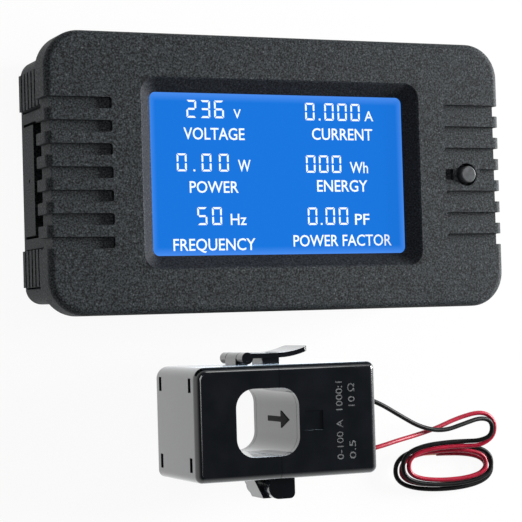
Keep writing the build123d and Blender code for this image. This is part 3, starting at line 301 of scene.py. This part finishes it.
world = bpy.data.worlds.new("studio")
bpy.context.scene.world = world
world.use_nodes = True
tree = world.node_tree
height = split_axes(tree, tree.nodes.new("ShaderNodeTexCoord").outputs["Generated"])["Z"]
sky = add_ramp(tree, height, [(0.25, wall_white), (0.8, ceiling_grey)])
seen_sky = tree.nodes["Background"]
lighting_sky = tree.nodes.new("ShaderNodeBackground")
lighting_sky.inputs["Strength"].default_value = lighting_strength
tree.links.new(sky, seen_sky.inputs["Color"])
tree.links.new(sky, lighting_sky.inputs["Color"])
mix_shaders(tree, seen_or_mirrored(tree), lighting_sky, seen_sky, tree.nodes["World Output"])
print("world", world.name)

# %% [markdown]
# The floor is white paper. Lit paper alone renders as light grey, so to the camera, in reflections
# and through clear plastic most of its colour is plain white. The rest is ordinary lit paper, and
# that part keeps the shadow under the object.

# %% Floor
floor_half = 1.5
plain_share = 0.94

floor_mesh = bpy.data.meshes.new("floor")
floor_corners = [(-floor_half, -floor_half, 0), (floor_half, -floor_half, 0),
                 (floor_half, floor_half, 0), (-floor_half, floor_half, 0)]
floor_mesh.from_pydata(floor_corners, [], [(0, 1, 2, 3)])
floor = bpy.data.objects.new("floor", floor_mesh)
bpy.context.scene.collection.objects.link(floor)
floor_paint = bpy.data.materials.new("floor_white")
floor_paint.use_nodes = True
tree = floor_paint.node_tree
paper = tree.nodes["Principled BSDF"]
paper.inputs["Base Color"].default_value = (0.9, 0.9, 0.9, 1)
paper.inputs["Roughness"].default_value = 0.9
paper.inputs["Specular IOR Level"].default_value = 0.1
white_share = add_math(tree, "MULTIPLY", seen_or_mirrored(tree), plain_share)
plain_white = tree.nodes.new("ShaderNodeEmission")
mix_shaders(tree, white_share, paper, plain_white, tree.nodes["Material Output"])
floor_mesh.materials.append(floor_paint)
print("floor", floor.name)

# %% [markdown]
# Three square lamps: the low key from the right lights the left wall of the display's window and
# leaves the others dark. A weak fill overhead keeps the grooves readable without lighting the
# upright walls, and a small weak lamp beyond the top edge draws the bright line along the rounded
# edge of the transformer.

# %% Lamps


def add_lamp(name, place, aim, size, power):
    """A square soft lamp at a place in millimetres, turned towards another place."""
    data = bpy.data.lights.new(name, "AREA")
    data.size = size * MM
    data.energy = power
    lamp = bpy.data.objects.new(name, data)
    bpy.context.scene.collection.objects.link(lamp)
    lamp.location = Vector(place) * MM
    lamp.rotation_euler = (Vector(aim) - Vector(place)).to_track_quat("-Z", "Y").to_euler()
    print("lamp", name, "power", power)


add_lamp("key_lamp", (460, 75, 165), (0, 0, 10), 180, 5.2)
add_lamp("fill_lamp", (-60, 40, 430), (-10, 0, 10), 160, 0.3)
add_lamp("edge_lamp", (175, 300, 345), (0, -20, 10), 110, 0.16)

# %% [markdown]
# Every finish here is one Principled shader with a few patterns on it. The first helper makes the
# plain shader, and the others add a fine bump or a slow change of colour, all in object
# coordinates, so that nothing slides when a joint moves.

# %% A plain finish


def shader_of(material):
    """The one Principled shader of a finish."""
    return material.node_tree.nodes["Principled BSDF"]


def new_finish(name, colour, roughness, metallic=0.0, coat=0.0, specular=0.5):
    """A material with plain values on its shader's own sockets."""
    material = bpy.data.materials.new(name)
    material.use_nodes = True
    sockets = shader_of(material).inputs
    sockets["Base Color"].default_value = (*colour, 1)
    sockets["Roughness"].default_value = roughness
    sockets["Metallic"].default_value = metallic
    sockets["Coat Weight"].default_value = coat
    sockets["Specular IOR Level"].default_value = specular
    return material


def paint(material, *names):
    """Give a finish to solids of the frame, by name."""
    for name in names:
        for place in nodes[name].material_slots:
            place.material = material
    print(material.name, "on", len(names), "solids")


# %% Patterns on a finish


def object_place(tree):
    """The place of a point in its object's own coordinates."""
    return tree.nodes.new("ShaderNodeTexCoord").outputs["Object"]


def add_noise(tree, size, detail=2.0, stretch=(1, 1, 1)):
    """A noise pattern whose grains are about this many millimetres across."""
    mapping = tree.nodes.new("ShaderNodeMapping")
    mapping.inputs["Scale"].default_value = [1 / (size * MM * way) for way in stretch]
    noise = tree.nodes.new("ShaderNodeTexNoise")
    noise.inputs["Scale"].default_value = 1.0
    noise.inputs["Detail"].default_value = detail
    tree.links.new(object_place(tree), mapping.inputs["Vector"])
    tree.links.new(mapping.outputs["Vector"], noise.inputs["Vector"])
    return noise.outputs["Fac"]


def raise_surface(material, pattern, depth, strength):
    """Bends the surface's shading as if a pattern stood up from it by a depth in millimetres."""
    tree = material.node_tree
    bump = tree.nodes.new("ShaderNodeBump")
    bump.inputs["Strength"].default_value = strength
    bump.inputs["Distance"].default_value = depth * MM
    tree.links.new(pattern, bump.inputs["Height"])
    tree.links.new(bump.outputs["Normal"], shader_of(material).inputs["Normal"])


def add_bump(material, size, depth, strength=1.0, detail=2.0, stretch=(1, 1, 1)):
    """A moulded or brushed texture of this grain size and depth, in millimetres."""
    grains = add_noise(material.node_tree, size, detail, stretch)
    raise_surface(material, grains, depth, strength)


def add_mottle(material, first, second, size, low=0.35, high=0.65, detail=3.0, stretch=(1, 1, 1),
               sparks=()):
    """A slow change between two colours, over patches of this many millimetres.

    Sparks are further places and colours on the same ramp, for the highest grains alone.
    """
    tree = material.node_tree
    patches = add_noise(tree, size, detail, stretch)
    colour = add_ramp(tree, patches, [(low, first), (high, second), *sparks])
    tree.links.new(colour, shader_of(material).inputs["Base Color"])
    return colour


# %% [markdown]
# The meter's housing is dark grey plastic from a mould with a fine spark texture: under studio
# light it shows a dense grain with tiny bright points. The sloping walls round the display carry
# painted shade: their colour is multiplied down to about two fifths, standing in for the shade
# inside the window's recess. They belong to the same moulding, so a second material would need its
# faces split off, and the distance inside the rim of the slope tells them apart without that.

# %% Distance inside a rectangle
corner_blend = 0.6 * MM


def add_span(tree, value, low, high, new_low=0.0, new_high=1.0):
    """Turns what runs from low to high into what runs from the new low to the new high."""
    span = tree.nodes.new("ShaderNodeMapRange")
    limits = {"From Min": low, "From Max": high, "To Min": new_low, "To Max": new_high}
    for name, limit in limits.items():
        span.inputs[name].default_value = limit
    tree.links.new(value, span.inputs["Value"])
    return span.outputs["Result"]


def add_side_distance(tree, middle_y, half_width, half_height):
    """How far a point lies inside the nearest side of an upright rectangle, in metres.

    On each axis it is half the size less the distance from the middle, and the smaller of the two
    counts, blended near the corners.
    """
    axes = split_axes(tree, object_place(tree))
    up = add_math(tree, "SUBTRACT", axes["Y"], middle_y)
    inside = [add_math(tree, "SUBTRACT", half, add_math(tree, "ABSOLUTE", distance))
              for half, distance in ((half_width, axes["X"]), (half_height, up))]
    return add_math(tree, "SMOOTH_MIN", *inside, corner_blend)


# %% Charcoal plastic
film_low, film_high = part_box("lcd_film")
display_middle_y = (film_low[1] + film_high[1]) / 2
slope_half_width = 27.5 * MM
slope_half_height = 17.0 * MM
slope_edge = 0.4 * MM
# Painted shade: the colour of the sloping walls round the display is multiplied by this grey.
painted_shade_tint = (0.4, 0.4, 0.42, 1)

charcoal = new_finish("charcoal_plastic", (0.032, 0.038, 0.041), 0.6, specular=0.14)
add_bump(charcoal, 0.26, 0.06, 0.6, 3.0)
grain = add_mottle(charcoal, (0.006, 0.007, 0.0085), (0.07, 0.08, 0.086), 0.3, 0.38, 0.66, 4.0,
                   sparks=[(0.74, (0.17, 0.185, 0.19))])
tree = charcoal.node_tree
inside_slope = add_side_distance(tree, display_middle_y, slope_half_width, slope_half_height)
# Painted shade on the sloping walls: inside the rim of the slope the grain's colour is multiplied
# down.
painted_shade = tree.nodes.new("ShaderNodeMix")
painted_shade.data_type = "RGBA"
painted_shade.blend_type = "MULTIPLY"
painted_shade.inputs["B"].default_value = painted_shade_tint
tree.links.new(add_span(tree, inside_slope, 0, slope_edge), painted_shade.inputs["Factor"])
tree.links.new(grain, painted_shade.inputs["A"])
tree.links.new(painted_shade.outputs["Result"], shader_of(charcoal).inputs["Base Color"])
tabs = [f"snap_tab_{side}_{row}" for side in ("left", "right") for row in ("upper", "lower")]
paint(charcoal, "front_bezel", "rear_housing", *tabs)

# %% Button
cap_grey = new_finish("button_grey", (0.06, 0.065, 0.07), 0.42, specular=0.35)
add_bump(cap_grey, 0.3, 0.02, 0.4)
add_mottle(cap_grey, (0.06, 0.065, 0.07), (0.11, 0.117, 0.123), 0.8)
paint(cap_grey, "button_cap")

# %% [markdown]
# The transformer's shells are polished black plastic with a hard bright skin, which a clear coat
# over a glossy base gives. A pure mirror would look like glass, so the gloss gets a very slow
# unevenness, as moulded walls have, and its roughness wanders a little. A thin sheen stands for
# the fine scratches and dust that lighten such a face from a low angle.

# %% Gloss black plastic
noise_low = 0.3
noise_high = 0.7


def add_roughness_change(material, low, high, size):
    """Roughness that wanders between two values over patches of this many millimetres.

    The noise seldom leaves the span from noise low to noise high, so that span becomes theirs.
    """
    tree = material.node_tree
    wander = add_span(tree, add_noise(tree, size), noise_low, noise_high, low, high)
    tree.links.new(wander, shader_of(material).inputs["Roughness"])


gloss_black = new_finish("gloss_black", (0.003, 0.004, 0.0055), 0.16, coat=1.0)
gloss_sockets = shader_of(gloss_black).inputs
gloss_sockets["Coat Roughness"].default_value = 0.08
gloss_sockets["Sheen Weight"].default_value = 0.28
gloss_sockets["Sheen Roughness"].default_value = 0.35
gloss_sockets["Sheen Tint"].default_value = (0.65, 0.82, 1.0, 1)
add_bump(gloss_black, 14.0, 0.04, 0.25, 0.0)
add_roughness_change(gloss_black, 0.12, 0.2, 5.0)
add_mottle(gloss_black, (0.002, 0.003, 0.004), (0.0045, 0.0055, 0.008), 4.0)
paint(gloss_black, "transformer_case", "case_liner", "jaw_case", "jaw_liner", "latch_strap",
      "hinge_pin", "latch_pin")

# %% [markdown]
# Soft insulation is dyed all through and only half glossy, with a fine unevenness from the press.
# Bare copper is a metal whose colour changes from strand to strand.

# %% Lead insulation and bare copper
black_skin = new_finish("black_insulation", (0.003, 0.003, 0.0035), 0.42, specular=0.12)
add_bump(black_skin, 0.4, 0.01, 0.5)
add_mottle(black_skin, (0.002, 0.002, 0.0025), (0.006, 0.006, 0.007), 1.5)
red_skin = new_finish("red_insulation", (0.36, 0.005, 0.028), 0.34, specular=0.3)
add_bump(red_skin, 0.4, 0.01, 0.5)
add_mottle(red_skin, (0.3, 0.004, 0.022), (0.42, 0.007, 0.034), 1.5)
copper = new_finish("bare_copper", (0.7, 0.32, 0.17), 0.3, metallic=1.0)
add_mottle(copper, (0.62, 0.26, 0.13), (0.8, 0.42, 0.26), 0.4)
skins = ((black_lead, black_skin), (red_lead, red_skin), (black_tip, copper), (red_tip, copper))
for piece, skin in skins:
    piece.data.materials.append(skin)
    print(skin.name, "on", piece.name)

# %% [markdown]
# The display is a dark-field panel lit from behind through a blue film, and it glows a little
# brighter along its rim, where the light guide leaks. The blue is partly its own light. The rim
# comes from the distance to the nearest side of the window, worked out from object coordinates.

# %% Blue display
window_half_width = 25.4 * MM
window_half_height = 14.55 * MM
rim_width = 1.5 * MM
rim_blue = (0.075, 0.28, 0.9)
field_blue = (0.011, 0.185, 0.74)

display_blue = new_finish("display_blue", (0.001, 0.015, 0.06), 0.4, specular=0.0)
tree = display_blue.node_tree
inside_window = add_side_distance(tree, display_middle_y, window_half_width, window_half_height)
rim_share = add_span(tree, inside_window, 0, rim_width)
glow = add_ramp(tree, rim_share, [(0, rim_blue), (1, field_blue)])
tree.links.new(glow, shader_of(display_blue).inputs["Emission Color"])
shader_of(display_blue).inputs["Emission Strength"].default_value = 0.93
add_bump(display_blue, 1.2, 0.004, 0.3)
paint(display_blue, "lcd_film", "lcd_glass")

# %% [markdown]
# The readings are the usual seven-segment figures, each segment a flat bar with slanted ends and a
# hairline gap to the next. A picture of them would need a file, so each bar is four to six points
# of a flat mesh just above the film, and one list says which bars each figure lights.

# %% Seven bars of a figure
digit_width = 1.9
digit_height = 3.2
bar = 0.35
hairline = 0.1
lit_bars = {"0": "abcdef", "2": "abdeg", "3": "abcdg", "5": "acdfg", "6": "acdefg"}


def bar_shapes():
    """Corner points of the seven bars of a figure, counted from its lower left corner.

    The low bar and the lower left bar are drawn point by point. The other outer bars are those two
    turned over across the figure's middle, and the centre bar has a point at each end.
    """
    right, top, middle = digit_width, digit_height, digit_height / 2
    in_left, in_right = bar, digit_width - bar
    low, high = middle - bar / 2, middle + bar / 2
    low_bar = [(hairline, 0), (right - hairline, 0), (in_right - hairline, bar),
               (in_left + hairline, bar)]
    side_bar = [(0, hairline), (bar, bar + hairline), (bar, low - hairline / 2),
                (bar / 2, middle - hairline), (0, low)]
    flip_up = [(x, top - y) for x, y in reversed(low_bar)]
    left_up = [(x, top - y) for x, y in reversed(side_bar)]
    centre = [(bar / 2 + hairline, middle), (in_left, low), (in_right, low),
              (right - bar / 2 - hairline, middle), (in_right, high), (in_left, high)]
    return {"a": flip_up, "b": [(right - x, y) for x, y in reversed(left_up)],
            "c": [(right - x, y) for x, y in reversed(side_bar)], "d": low_bar,
            "e": side_bar, "f": left_up, "g": centre}


bars = bar_shapes()
print("corners of each bar", {key: len(corners) for key, corners in bars.items()})

# %% Flat print
print_lift = 0.02 * MM


def flat_print(name, shapes, face_height, body, finish):
    """One flat mesh from many shapes, each its points in millimetres and its faces."""
    points = np.vstack([shape_points for shape_points, shape_faces in shapes])
    starts = np.cumsum([0] + [len(shape_points) for shape_points, shape_faces in shapes])
    faces = [[start + corner for corner in face]
             for start, (shape_points, shape_faces) in zip(starts, shapes) for face in shape_faces]
    mesh = bpy.data.meshes.new(name)
    heights = np.full(len(points), face_height + print_lift)
    mesh.from_pydata(np.column_stack([points * MM, heights]), [], faces)
    piece = bpy.data.objects.new(name, mesh)
    bpy.context.scene.collection.objects.link(piece)
    mesh.materials.append(finish)
    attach(piece, body)
    print(name, "from", len(shapes), "shapes")


ink_white = new_finish("lit_white", (0.55, 0.6, 0.66), 0.4, specular=0.2)
shader_of(ink_white).inputs["Emission Color"].default_value = (0.86, 0.93, 1.0, 1)
shader_of(ink_white).inputs["Emission Strength"].default_value = 0.6
add_bump(ink_white, 0.5, 0.004, 0.3)

# %% Readings on the display
display_middle = np.array([0.2, display_middle_y / MM])
display_top = film_high[2]
# figures, their left edge and base line from the middle of the display, the step to the next
# figure, and the step across a decimal point
readings = [
    ("236", -18.15, 10.1, 2.66, 2.66),
    ("0.00", -20.26, 0.5, 3.35, 4.75),
    ("50", -16.6, -9.1, 2.83, 2.83),
    ("0.000", 5.16, 10.05, 2.68, 3.9),
    ("000", 5.04, 0.4, 2.62, 2.62),
    ("0.00", 5.1, -9.2, 2.7, 3.6),
]
dot = [(-bar / 2, 0), (bar / 2, 0), (bar / 2, bar), (-bar / 2, bar)]
figure_shapes = []
for figures, left, base, step, dot_step in readings:
    for figure in figures:
        if figure == ".":
            dot_x = left - step + digit_width + (dot_step - digit_width) / 2
            figure_shapes.append((np.array(dot) + [dot_x, base] + display_middle, [range(4)]))
            left += dot_step - step
            continue
        for key in lit_bars[figure]:
            corners = np.array(bars[key]) + [left, base] + display_middle
            figure_shapes.append((corners, [range(len(corners))]))
        left += step
flat_print("display_figures", figure_shapes, display_top, "meter", ink_white)

# %% [markdown]
# The names of the quantities and their units are printed on the film in a plain sans. Blender's own
# text turned into a mesh gives such letters, and each word is then stretched to the place it fills.

# %% Words in the built-in font
letter_stroke = 0.008


def word_shape(words, stroke):
    """Points and faces of a word on its base line, made bolder by a stroke, a share of its size."""
    letters = bpy.data.curves.new("letters", "FONT")
    letters.body = words
    letters.offset = stroke
    letters.resolution_u = 3
    holder = bpy.data.objects.new("letters", letters)
    bpy.context.scene.collection.objects.link(holder)
    bpy.context.view_layer.update()
    drawn = holder.evaluated_get(bpy.context.evaluated_depsgraph_get())
    mesh = bpy.data.meshes.new_from_object(drawn)
    points = np.empty(3 * len(mesh.vertices))
    mesh.vertices.foreach_get("co", points)
    faces = [list(face.vertices) for face in mesh.polygons]
    bpy.data.objects.remove(holder)
    bpy.data.meshes.remove(mesh)
    return points.reshape(-1, 3)[:, :2], faces


capital_height = word_shape("H", letter_stroke)[0][:, 1].max()


def placed_word(words, left, right, base, capital, stroke=letter_stroke):
    """A word between two edges, on a base line, with capitals of this height, in millimetres."""
    points, faces = word_shape(words, stroke)
    low, high = points[:, 0].min(), points[:, 0].max()
    across = left + (points[:, 0] - low) * (right - left) / (high - low)
    return np.column_stack([across, base + points[:, 1] * capital / capital_height]), faces


print("height of a capital", round(capital_height, 3))

# %% Names and units on the display
# words, left and right edge, base line and height of capitals, from the middle of the display
captions = [
    ("V", -9.08, -7.64, 10.15, 1.65), ("W", -8.47, -6.0, 0.55, 2.1),
    ("Hz", -10.2, -7.1, -9.1, 2.0), ("A", 17.25, 19.1, 10.1, 1.85),
    ("Wh", 13.95, 17.7, 0.4, 2.05), ("PF", 14.69, 17.67, -9.2, 2.0),
    ("VOLTAGE", -18.81, -7.02, 6.25, 2.1), ("POWER", -17.92, -8.48, -3.3, 2.05),
    ("FREQUENCY", -21.31, -5.47, -13.65, 2.1), ("CURRENT", 6.41, 18.8, 6.5, 2.1),
    ("ENERGY", 7.15, 17.47, -3.05, 2.1), ("POWER FACTOR", 2.06, 22.13, -13.1, 2.05),
]
caption_shapes = []
for words, left, right, base, capital in captions:
    points, faces = placed_word(words, left, right, base, capital)
    caption_shapes.append((points + display_middle, faces))
flat_print("display_captions", caption_shapes, display_top, "meter", ink_white)

# %% [markdown]
# The transformer carries its rating beside the window, turned a quarter. Only plain numbers and
# units stand there, in faint grey ink that has sunk into the gloss.

# %% Rating on the transformer
case_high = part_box("transformer_case")[1]
case_half_width = 10.35
thin_stroke = 0.002
rating_grey = new_finish("rating_grey", (0.16, 0.165, 0.17), 0.5, specular=0.2)
add_mottle(rating_grey, (0.08, 0.085, 0.09), (0.19, 0.195, 0.2), 0.5)
# words, how far their base line is from the right end, start and finish up the face, and height
# of capitals
ratings = [
    ("0-100 A  1000:1", 7.1, 2.9, 17.2, 1.3),
    ("0.5", 4.6, 2.9, 6.3, 1.3),
    ("10 Ω", 4.6, 12.6, 16.8, 1.3),
]
jaw_low, jaw_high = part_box("jaw_liner")
case_edge = (jaw_low[1] + jaw_high[1]) / 2 / MM - case_half_width
rating_shapes = []
for words, from_end, start, finish, capital in ratings:
    points, faces = placed_word(words, start, finish, 0, capital, thin_stroke)
    from_right = case_high[0] / MM - from_end - points[:, 1]
    rating_shapes.append((np.column_stack([from_right, case_edge + points[:, 0]]), faces))
flat_print("rating_print", rating_shapes, case_high[2], "transformer", rating_grey)

# %% [markdown]
# An arrow stands on the wall of the cable window to show which way the current should run. It is a
# low relief of the same plastic, left matt so that it reads dark on the shiny wall: the outline on
# two levels, closed by a strip of sides.

# %% Arrow in the cable window
arrow_height = 0.15
liner_wall = 0.9
# places along the window and across it, in millimetres from the back of the transformer and from
# the middle of the wall
arrow_outline = np.array([(7.0, -0.5), (13.0, -0.5), (13.0, -1.6), (16.5, 0.0), (13.0, 1.6),
                          (13.0, 0.5), (7.0, 0.5)])
liner_low, liner_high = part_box("case_liner")
window_wall = liner_high[0] / MM - liner_wall
wall_middle = (liner_low[1] + liner_high[1]) / 2 / MM
count = len(arrow_outline)
rim = np.column_stack([np.full(count, window_wall), wall_middle + arrow_outline[:, 1],
                       arrow_outline[:, 0]])
arrow_points = np.vstack([rim - [arrow_height, 0, 0], rim]) * MM
arrow_sides = [(here, (here + 1) % count, (here + 1) % count + count, here + count)
               for here in range(count)]
arrow_mesh = bpy.data.meshes.new("current_arrow")
arrow_mesh.from_pydata(arrow_points, [], [tuple(range(count))[::-1]] + arrow_sides)
current_arrow = bpy.data.objects.new("current_arrow", arrow_mesh)
bpy.context.scene.collection.objects.link(current_arrow)
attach(current_arrow, "transformer")
arrow_matt = new_finish("arrow_matt", (0.02, 0.021, 0.023), 0.6, specular=0.15)
add_mottle(arrow_matt, (0.015, 0.016, 0.018), (0.028, 0.029, 0.031), 0.4)
add_bump(arrow_matt, 0.2, 0.01, 0.5)
arrow_mesh.materials.append(arrow_matt)
print("arrow points", len(arrow_points))

# %% [markdown]
# Inside the meter and the transformer are the pieces that a buyer never sees but a repairer does.
# Metals come first: bright tin on pins, zinc on screws, nickel on clamps, drawn cans. A noise that
# is stretched along one axis looks brushed or turned, where a plain one would look cast.

# %% Metals
numbers = range(1, 5)
tin = new_finish("bright_tin", (0.72, 0.72, 0.7), 0.25, metallic=1.0)
add_roughness_change(tin, 0.18, 0.38, 0.8)
add_bump(tin, 0.5, 0.01, 0.4)
paint(tin, "lcd_pins", "terminal_pins")
zinc = new_finish("zinc_plate", (0.58, 0.6, 0.63), 0.32, metallic=1.0)
add_mottle(zinc, (0.5, 0.52, 0.56), (0.68, 0.69, 0.7), 0.9)
add_bump(zinc, 0.2, 0.012, 0.5, stretch=(1, 1, 0.2))
paint(zinc, "board_screws", *[f"terminal_screw_{number}" for number in numbers])
nickel = new_finish("nickel_plate", (0.66, 0.63, 0.56), 0.28, metallic=1.0)
add_roughness_change(nickel, 0.2, 0.4, 1.2)
add_bump(nickel, 0.3, 0.01, 0.4, stretch=(1, 0.2, 1))
paint(nickel, *[f"terminal_clamp_{number}" for number in numbers])
can = new_finish("drawn_can", (0.68, 0.69, 0.71), 0.3, metallic=1.0)
add_bump(can, 0.25, 0.01, 0.5, stretch=(1, 1, 0.15))
add_mottle(can, (0.6, 0.61, 0.63), (0.75, 0.76, 0.77), 1.5, stretch=(1, 1, 0.3))
paint(can, "smoothing_capacitor", "clock_crystal")

# %% [markdown]
# The transformer's core is a stack of thin steel sheets, and its winding is enamelled wire laid
# turn by turn. Both show fine even ridges, so a wave along one axis raises them. Modelled sheets
# and turns would be thousands of faces that nobody sees.

# %% Core sheets and winding


def add_ridges(material, axis, pitch, depth, strength):
    """Ridges along an axis at this pitch and depth in millimetres, as wound wire or sheets make."""
    tree = material.node_tree
    wave = tree.nodes.new("ShaderNodeTexWave")
    wave.bands_direction = axis
    wave.inputs["Scale"].default_value = math.pi / (10 * pitch * MM)
    wave.inputs["Distortion"].default_value = 0.4
    tree.links.new(object_place(tree), wave.inputs["Vector"])
    raise_surface(material, wave.outputs["Fac"], depth, strength)


core_sheets = new_finish("core_sheets", (0.3, 0.3, 0.31), 0.45, metallic=0.9)
add_ridges(core_sheets, "Z", 0.35, 0.03, 0.8)
add_mottle(core_sheets, (0.22, 0.22, 0.23), (0.38, 0.37, 0.36), 1.8)
paint(core_sheets, "fixed_core", "moving_core")
wire_turns = new_finish("enamelled_wire", (0.45, 0.15, 0.05), 0.3, metallic=0.6)
add_ridges(wire_turns, "Y", 0.18, 0.05, 1.0)
add_mottle(wire_turns, (0.4, 0.12, 0.04), (0.55, 0.2, 0.07), 1.2)
paint(wire_turns, "winding")

# %% [markdown]
# A board is green lacquer over copper tracks, which a two-colour pattern with a hard edge gives.
# Chips are dull moulded epoxy. Resistors and diodes carry bands of colour round their bodies: a
# ramp without blending, read along their axis, lays the bands on all of them at once.

# %% Boards and chips
solder_mask = new_finish("solder_mask", (0.02, 0.16, 0.05), 0.3, coat=0.3)
add_mottle(solder_mask, (0.012, 0.11, 0.035), (0.03, 0.22, 0.08), 1.6, 0.49, 0.51, 1.0,
           (1, 0.25, 1))
add_bump(solder_mask, 1.6, 0.02, 0.5, 1.0, (1, 0.25, 1))
paint(solder_mask, "main_board", "burden_board")
epoxy = new_finish("moulded_epoxy", (0.018, 0.018, 0.02), 0.6, specular=0.3)
add_bump(epoxy, 0.12, 0.015, 0.7, 3.0)
add_mottle(epoxy, (0.014, 0.014, 0.016), (0.026, 0.026, 0.028), 0.6)
paint(epoxy, "meter_chip", "controller_chip", "display_driver_chip", "burden_resistor",
      "clamp_diodes", "switch_body")
potted_box = new_finish("potted_yellow", (0.55, 0.4, 0.05), 0.4)
add_mottle(potted_box, (0.5, 0.36, 0.045), (0.6, 0.45, 0.07), 2.0)
add_bump(potted_box, 0.5, 0.01, 0.5)
paint(potted_box, "film_capacitor")
stem = new_finish("switch_stem", (0.03, 0.03, 0.032), 0.4)
add_mottle(stem, (0.025, 0.025, 0.027), (0.045, 0.045, 0.047), 0.5)
paint(stem, "switch_plunger")

# %% Banded pieces


def add_bands(material, node_name, stops):
    """Colours in hard-edged bands along x, from one end of a solid to the other."""
    tree = material.node_tree
    low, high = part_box(node_name)
    share = add_span(tree, split_axes(tree, object_place(tree))["X"], low[0], high[0])
    colour = add_ramp(tree, share, stops, "CONSTANT")
    tree.links.new(colour, shader_of(material).inputs["Base Color"])
    paint(material, node_name)


body_blue = (0.2, 0.42, 0.6)
brown, black = (0.25, 0.09, 0.03), (0.01, 0.01, 0.01)
red, gold = (0.5, 0.03, 0.02), (0.5, 0.33, 0.08)
lacquer = new_finish("blue_lacquer", body_blue, 0.35, coat=0.2)
add_bump(lacquer, 0.6, 0.02, 0.5)
add_bands(lacquer, "resistors", [
    (0.0, body_blue), (0.18, brown), (0.26, body_blue), (0.36, black), (0.44, body_blue),
    (0.54, red), (0.62, body_blue), (0.76, gold), (0.84, body_blue)])
body_black = (0.02, 0.02, 0.022)
diode_black = new_finish("diode_black", body_black, 0.5)
add_bump(diode_black, 0.15, 0.01, 0.5)
add_bands(diode_black, "rectifier_diodes", [
    (0.0, body_black), (0.74, (0.5, 0.5, 0.5)), (0.88, body_black)])

# %% [markdown]
# What is left is moulded plastic, the clear light guide, the yellow lenses of the two small lamps
# behind the display, and a pad of foam. Each has its own grain: fine on moulded pieces, and deep
# on the foam. Only the light guide lets light through, as that is its work.

# %% Plastics, foam and clear pieces
terminal_green = new_finish("terminal_green", (0.02, 0.14, 0.045), 0.45)
add_bump(terminal_green, 0.25, 0.015, 0.5)
add_mottle(terminal_green, (0.016, 0.12, 0.038), (0.028, 0.17, 0.055), 2.5)
paint(terminal_green, "terminal_block")
holder_white = new_finish("holder_white", (0.82, 0.82, 0.8), 0.5)
add_bump(holder_white, 0.4, 0.01, 0.4)
add_mottle(holder_white, (0.78, 0.78, 0.76), (0.86, 0.86, 0.84), 4.0)
paint(holder_white, "display_holder", "winding_bobbin")
acrylic = new_finish("clear_acrylic", (0.85, 0.92, 1.0), 0.15)
shader_of(acrylic).inputs["Transmission Weight"].default_value = 0.7
add_bump(acrylic, 0.8, 0.01, 0.3)
paint(acrylic, "light_guide")
led_lens = new_finish("led_lens", (0.85, 0.8, 0.55), 0.3)
add_mottle(led_lens, (0.8, 0.74, 0.4), (0.92, 0.9, 0.75), 0.8)
paint(led_lens, "backlight_leds")
foam = new_finish("pad_foam", (0.03, 0.03, 0.032), 0.9, specular=0.1)
add_bump(foam, 0.3, 0.08, 0.9, 3.0)
add_mottle(foam, (0.02, 0.02, 0.022), (0.05, 0.05, 0.052), 0.5)
paint(foam, "core_pad")

# %% Standard view transform, the last step
bpy.context.scene.view_settings.view_transform = "Standard"
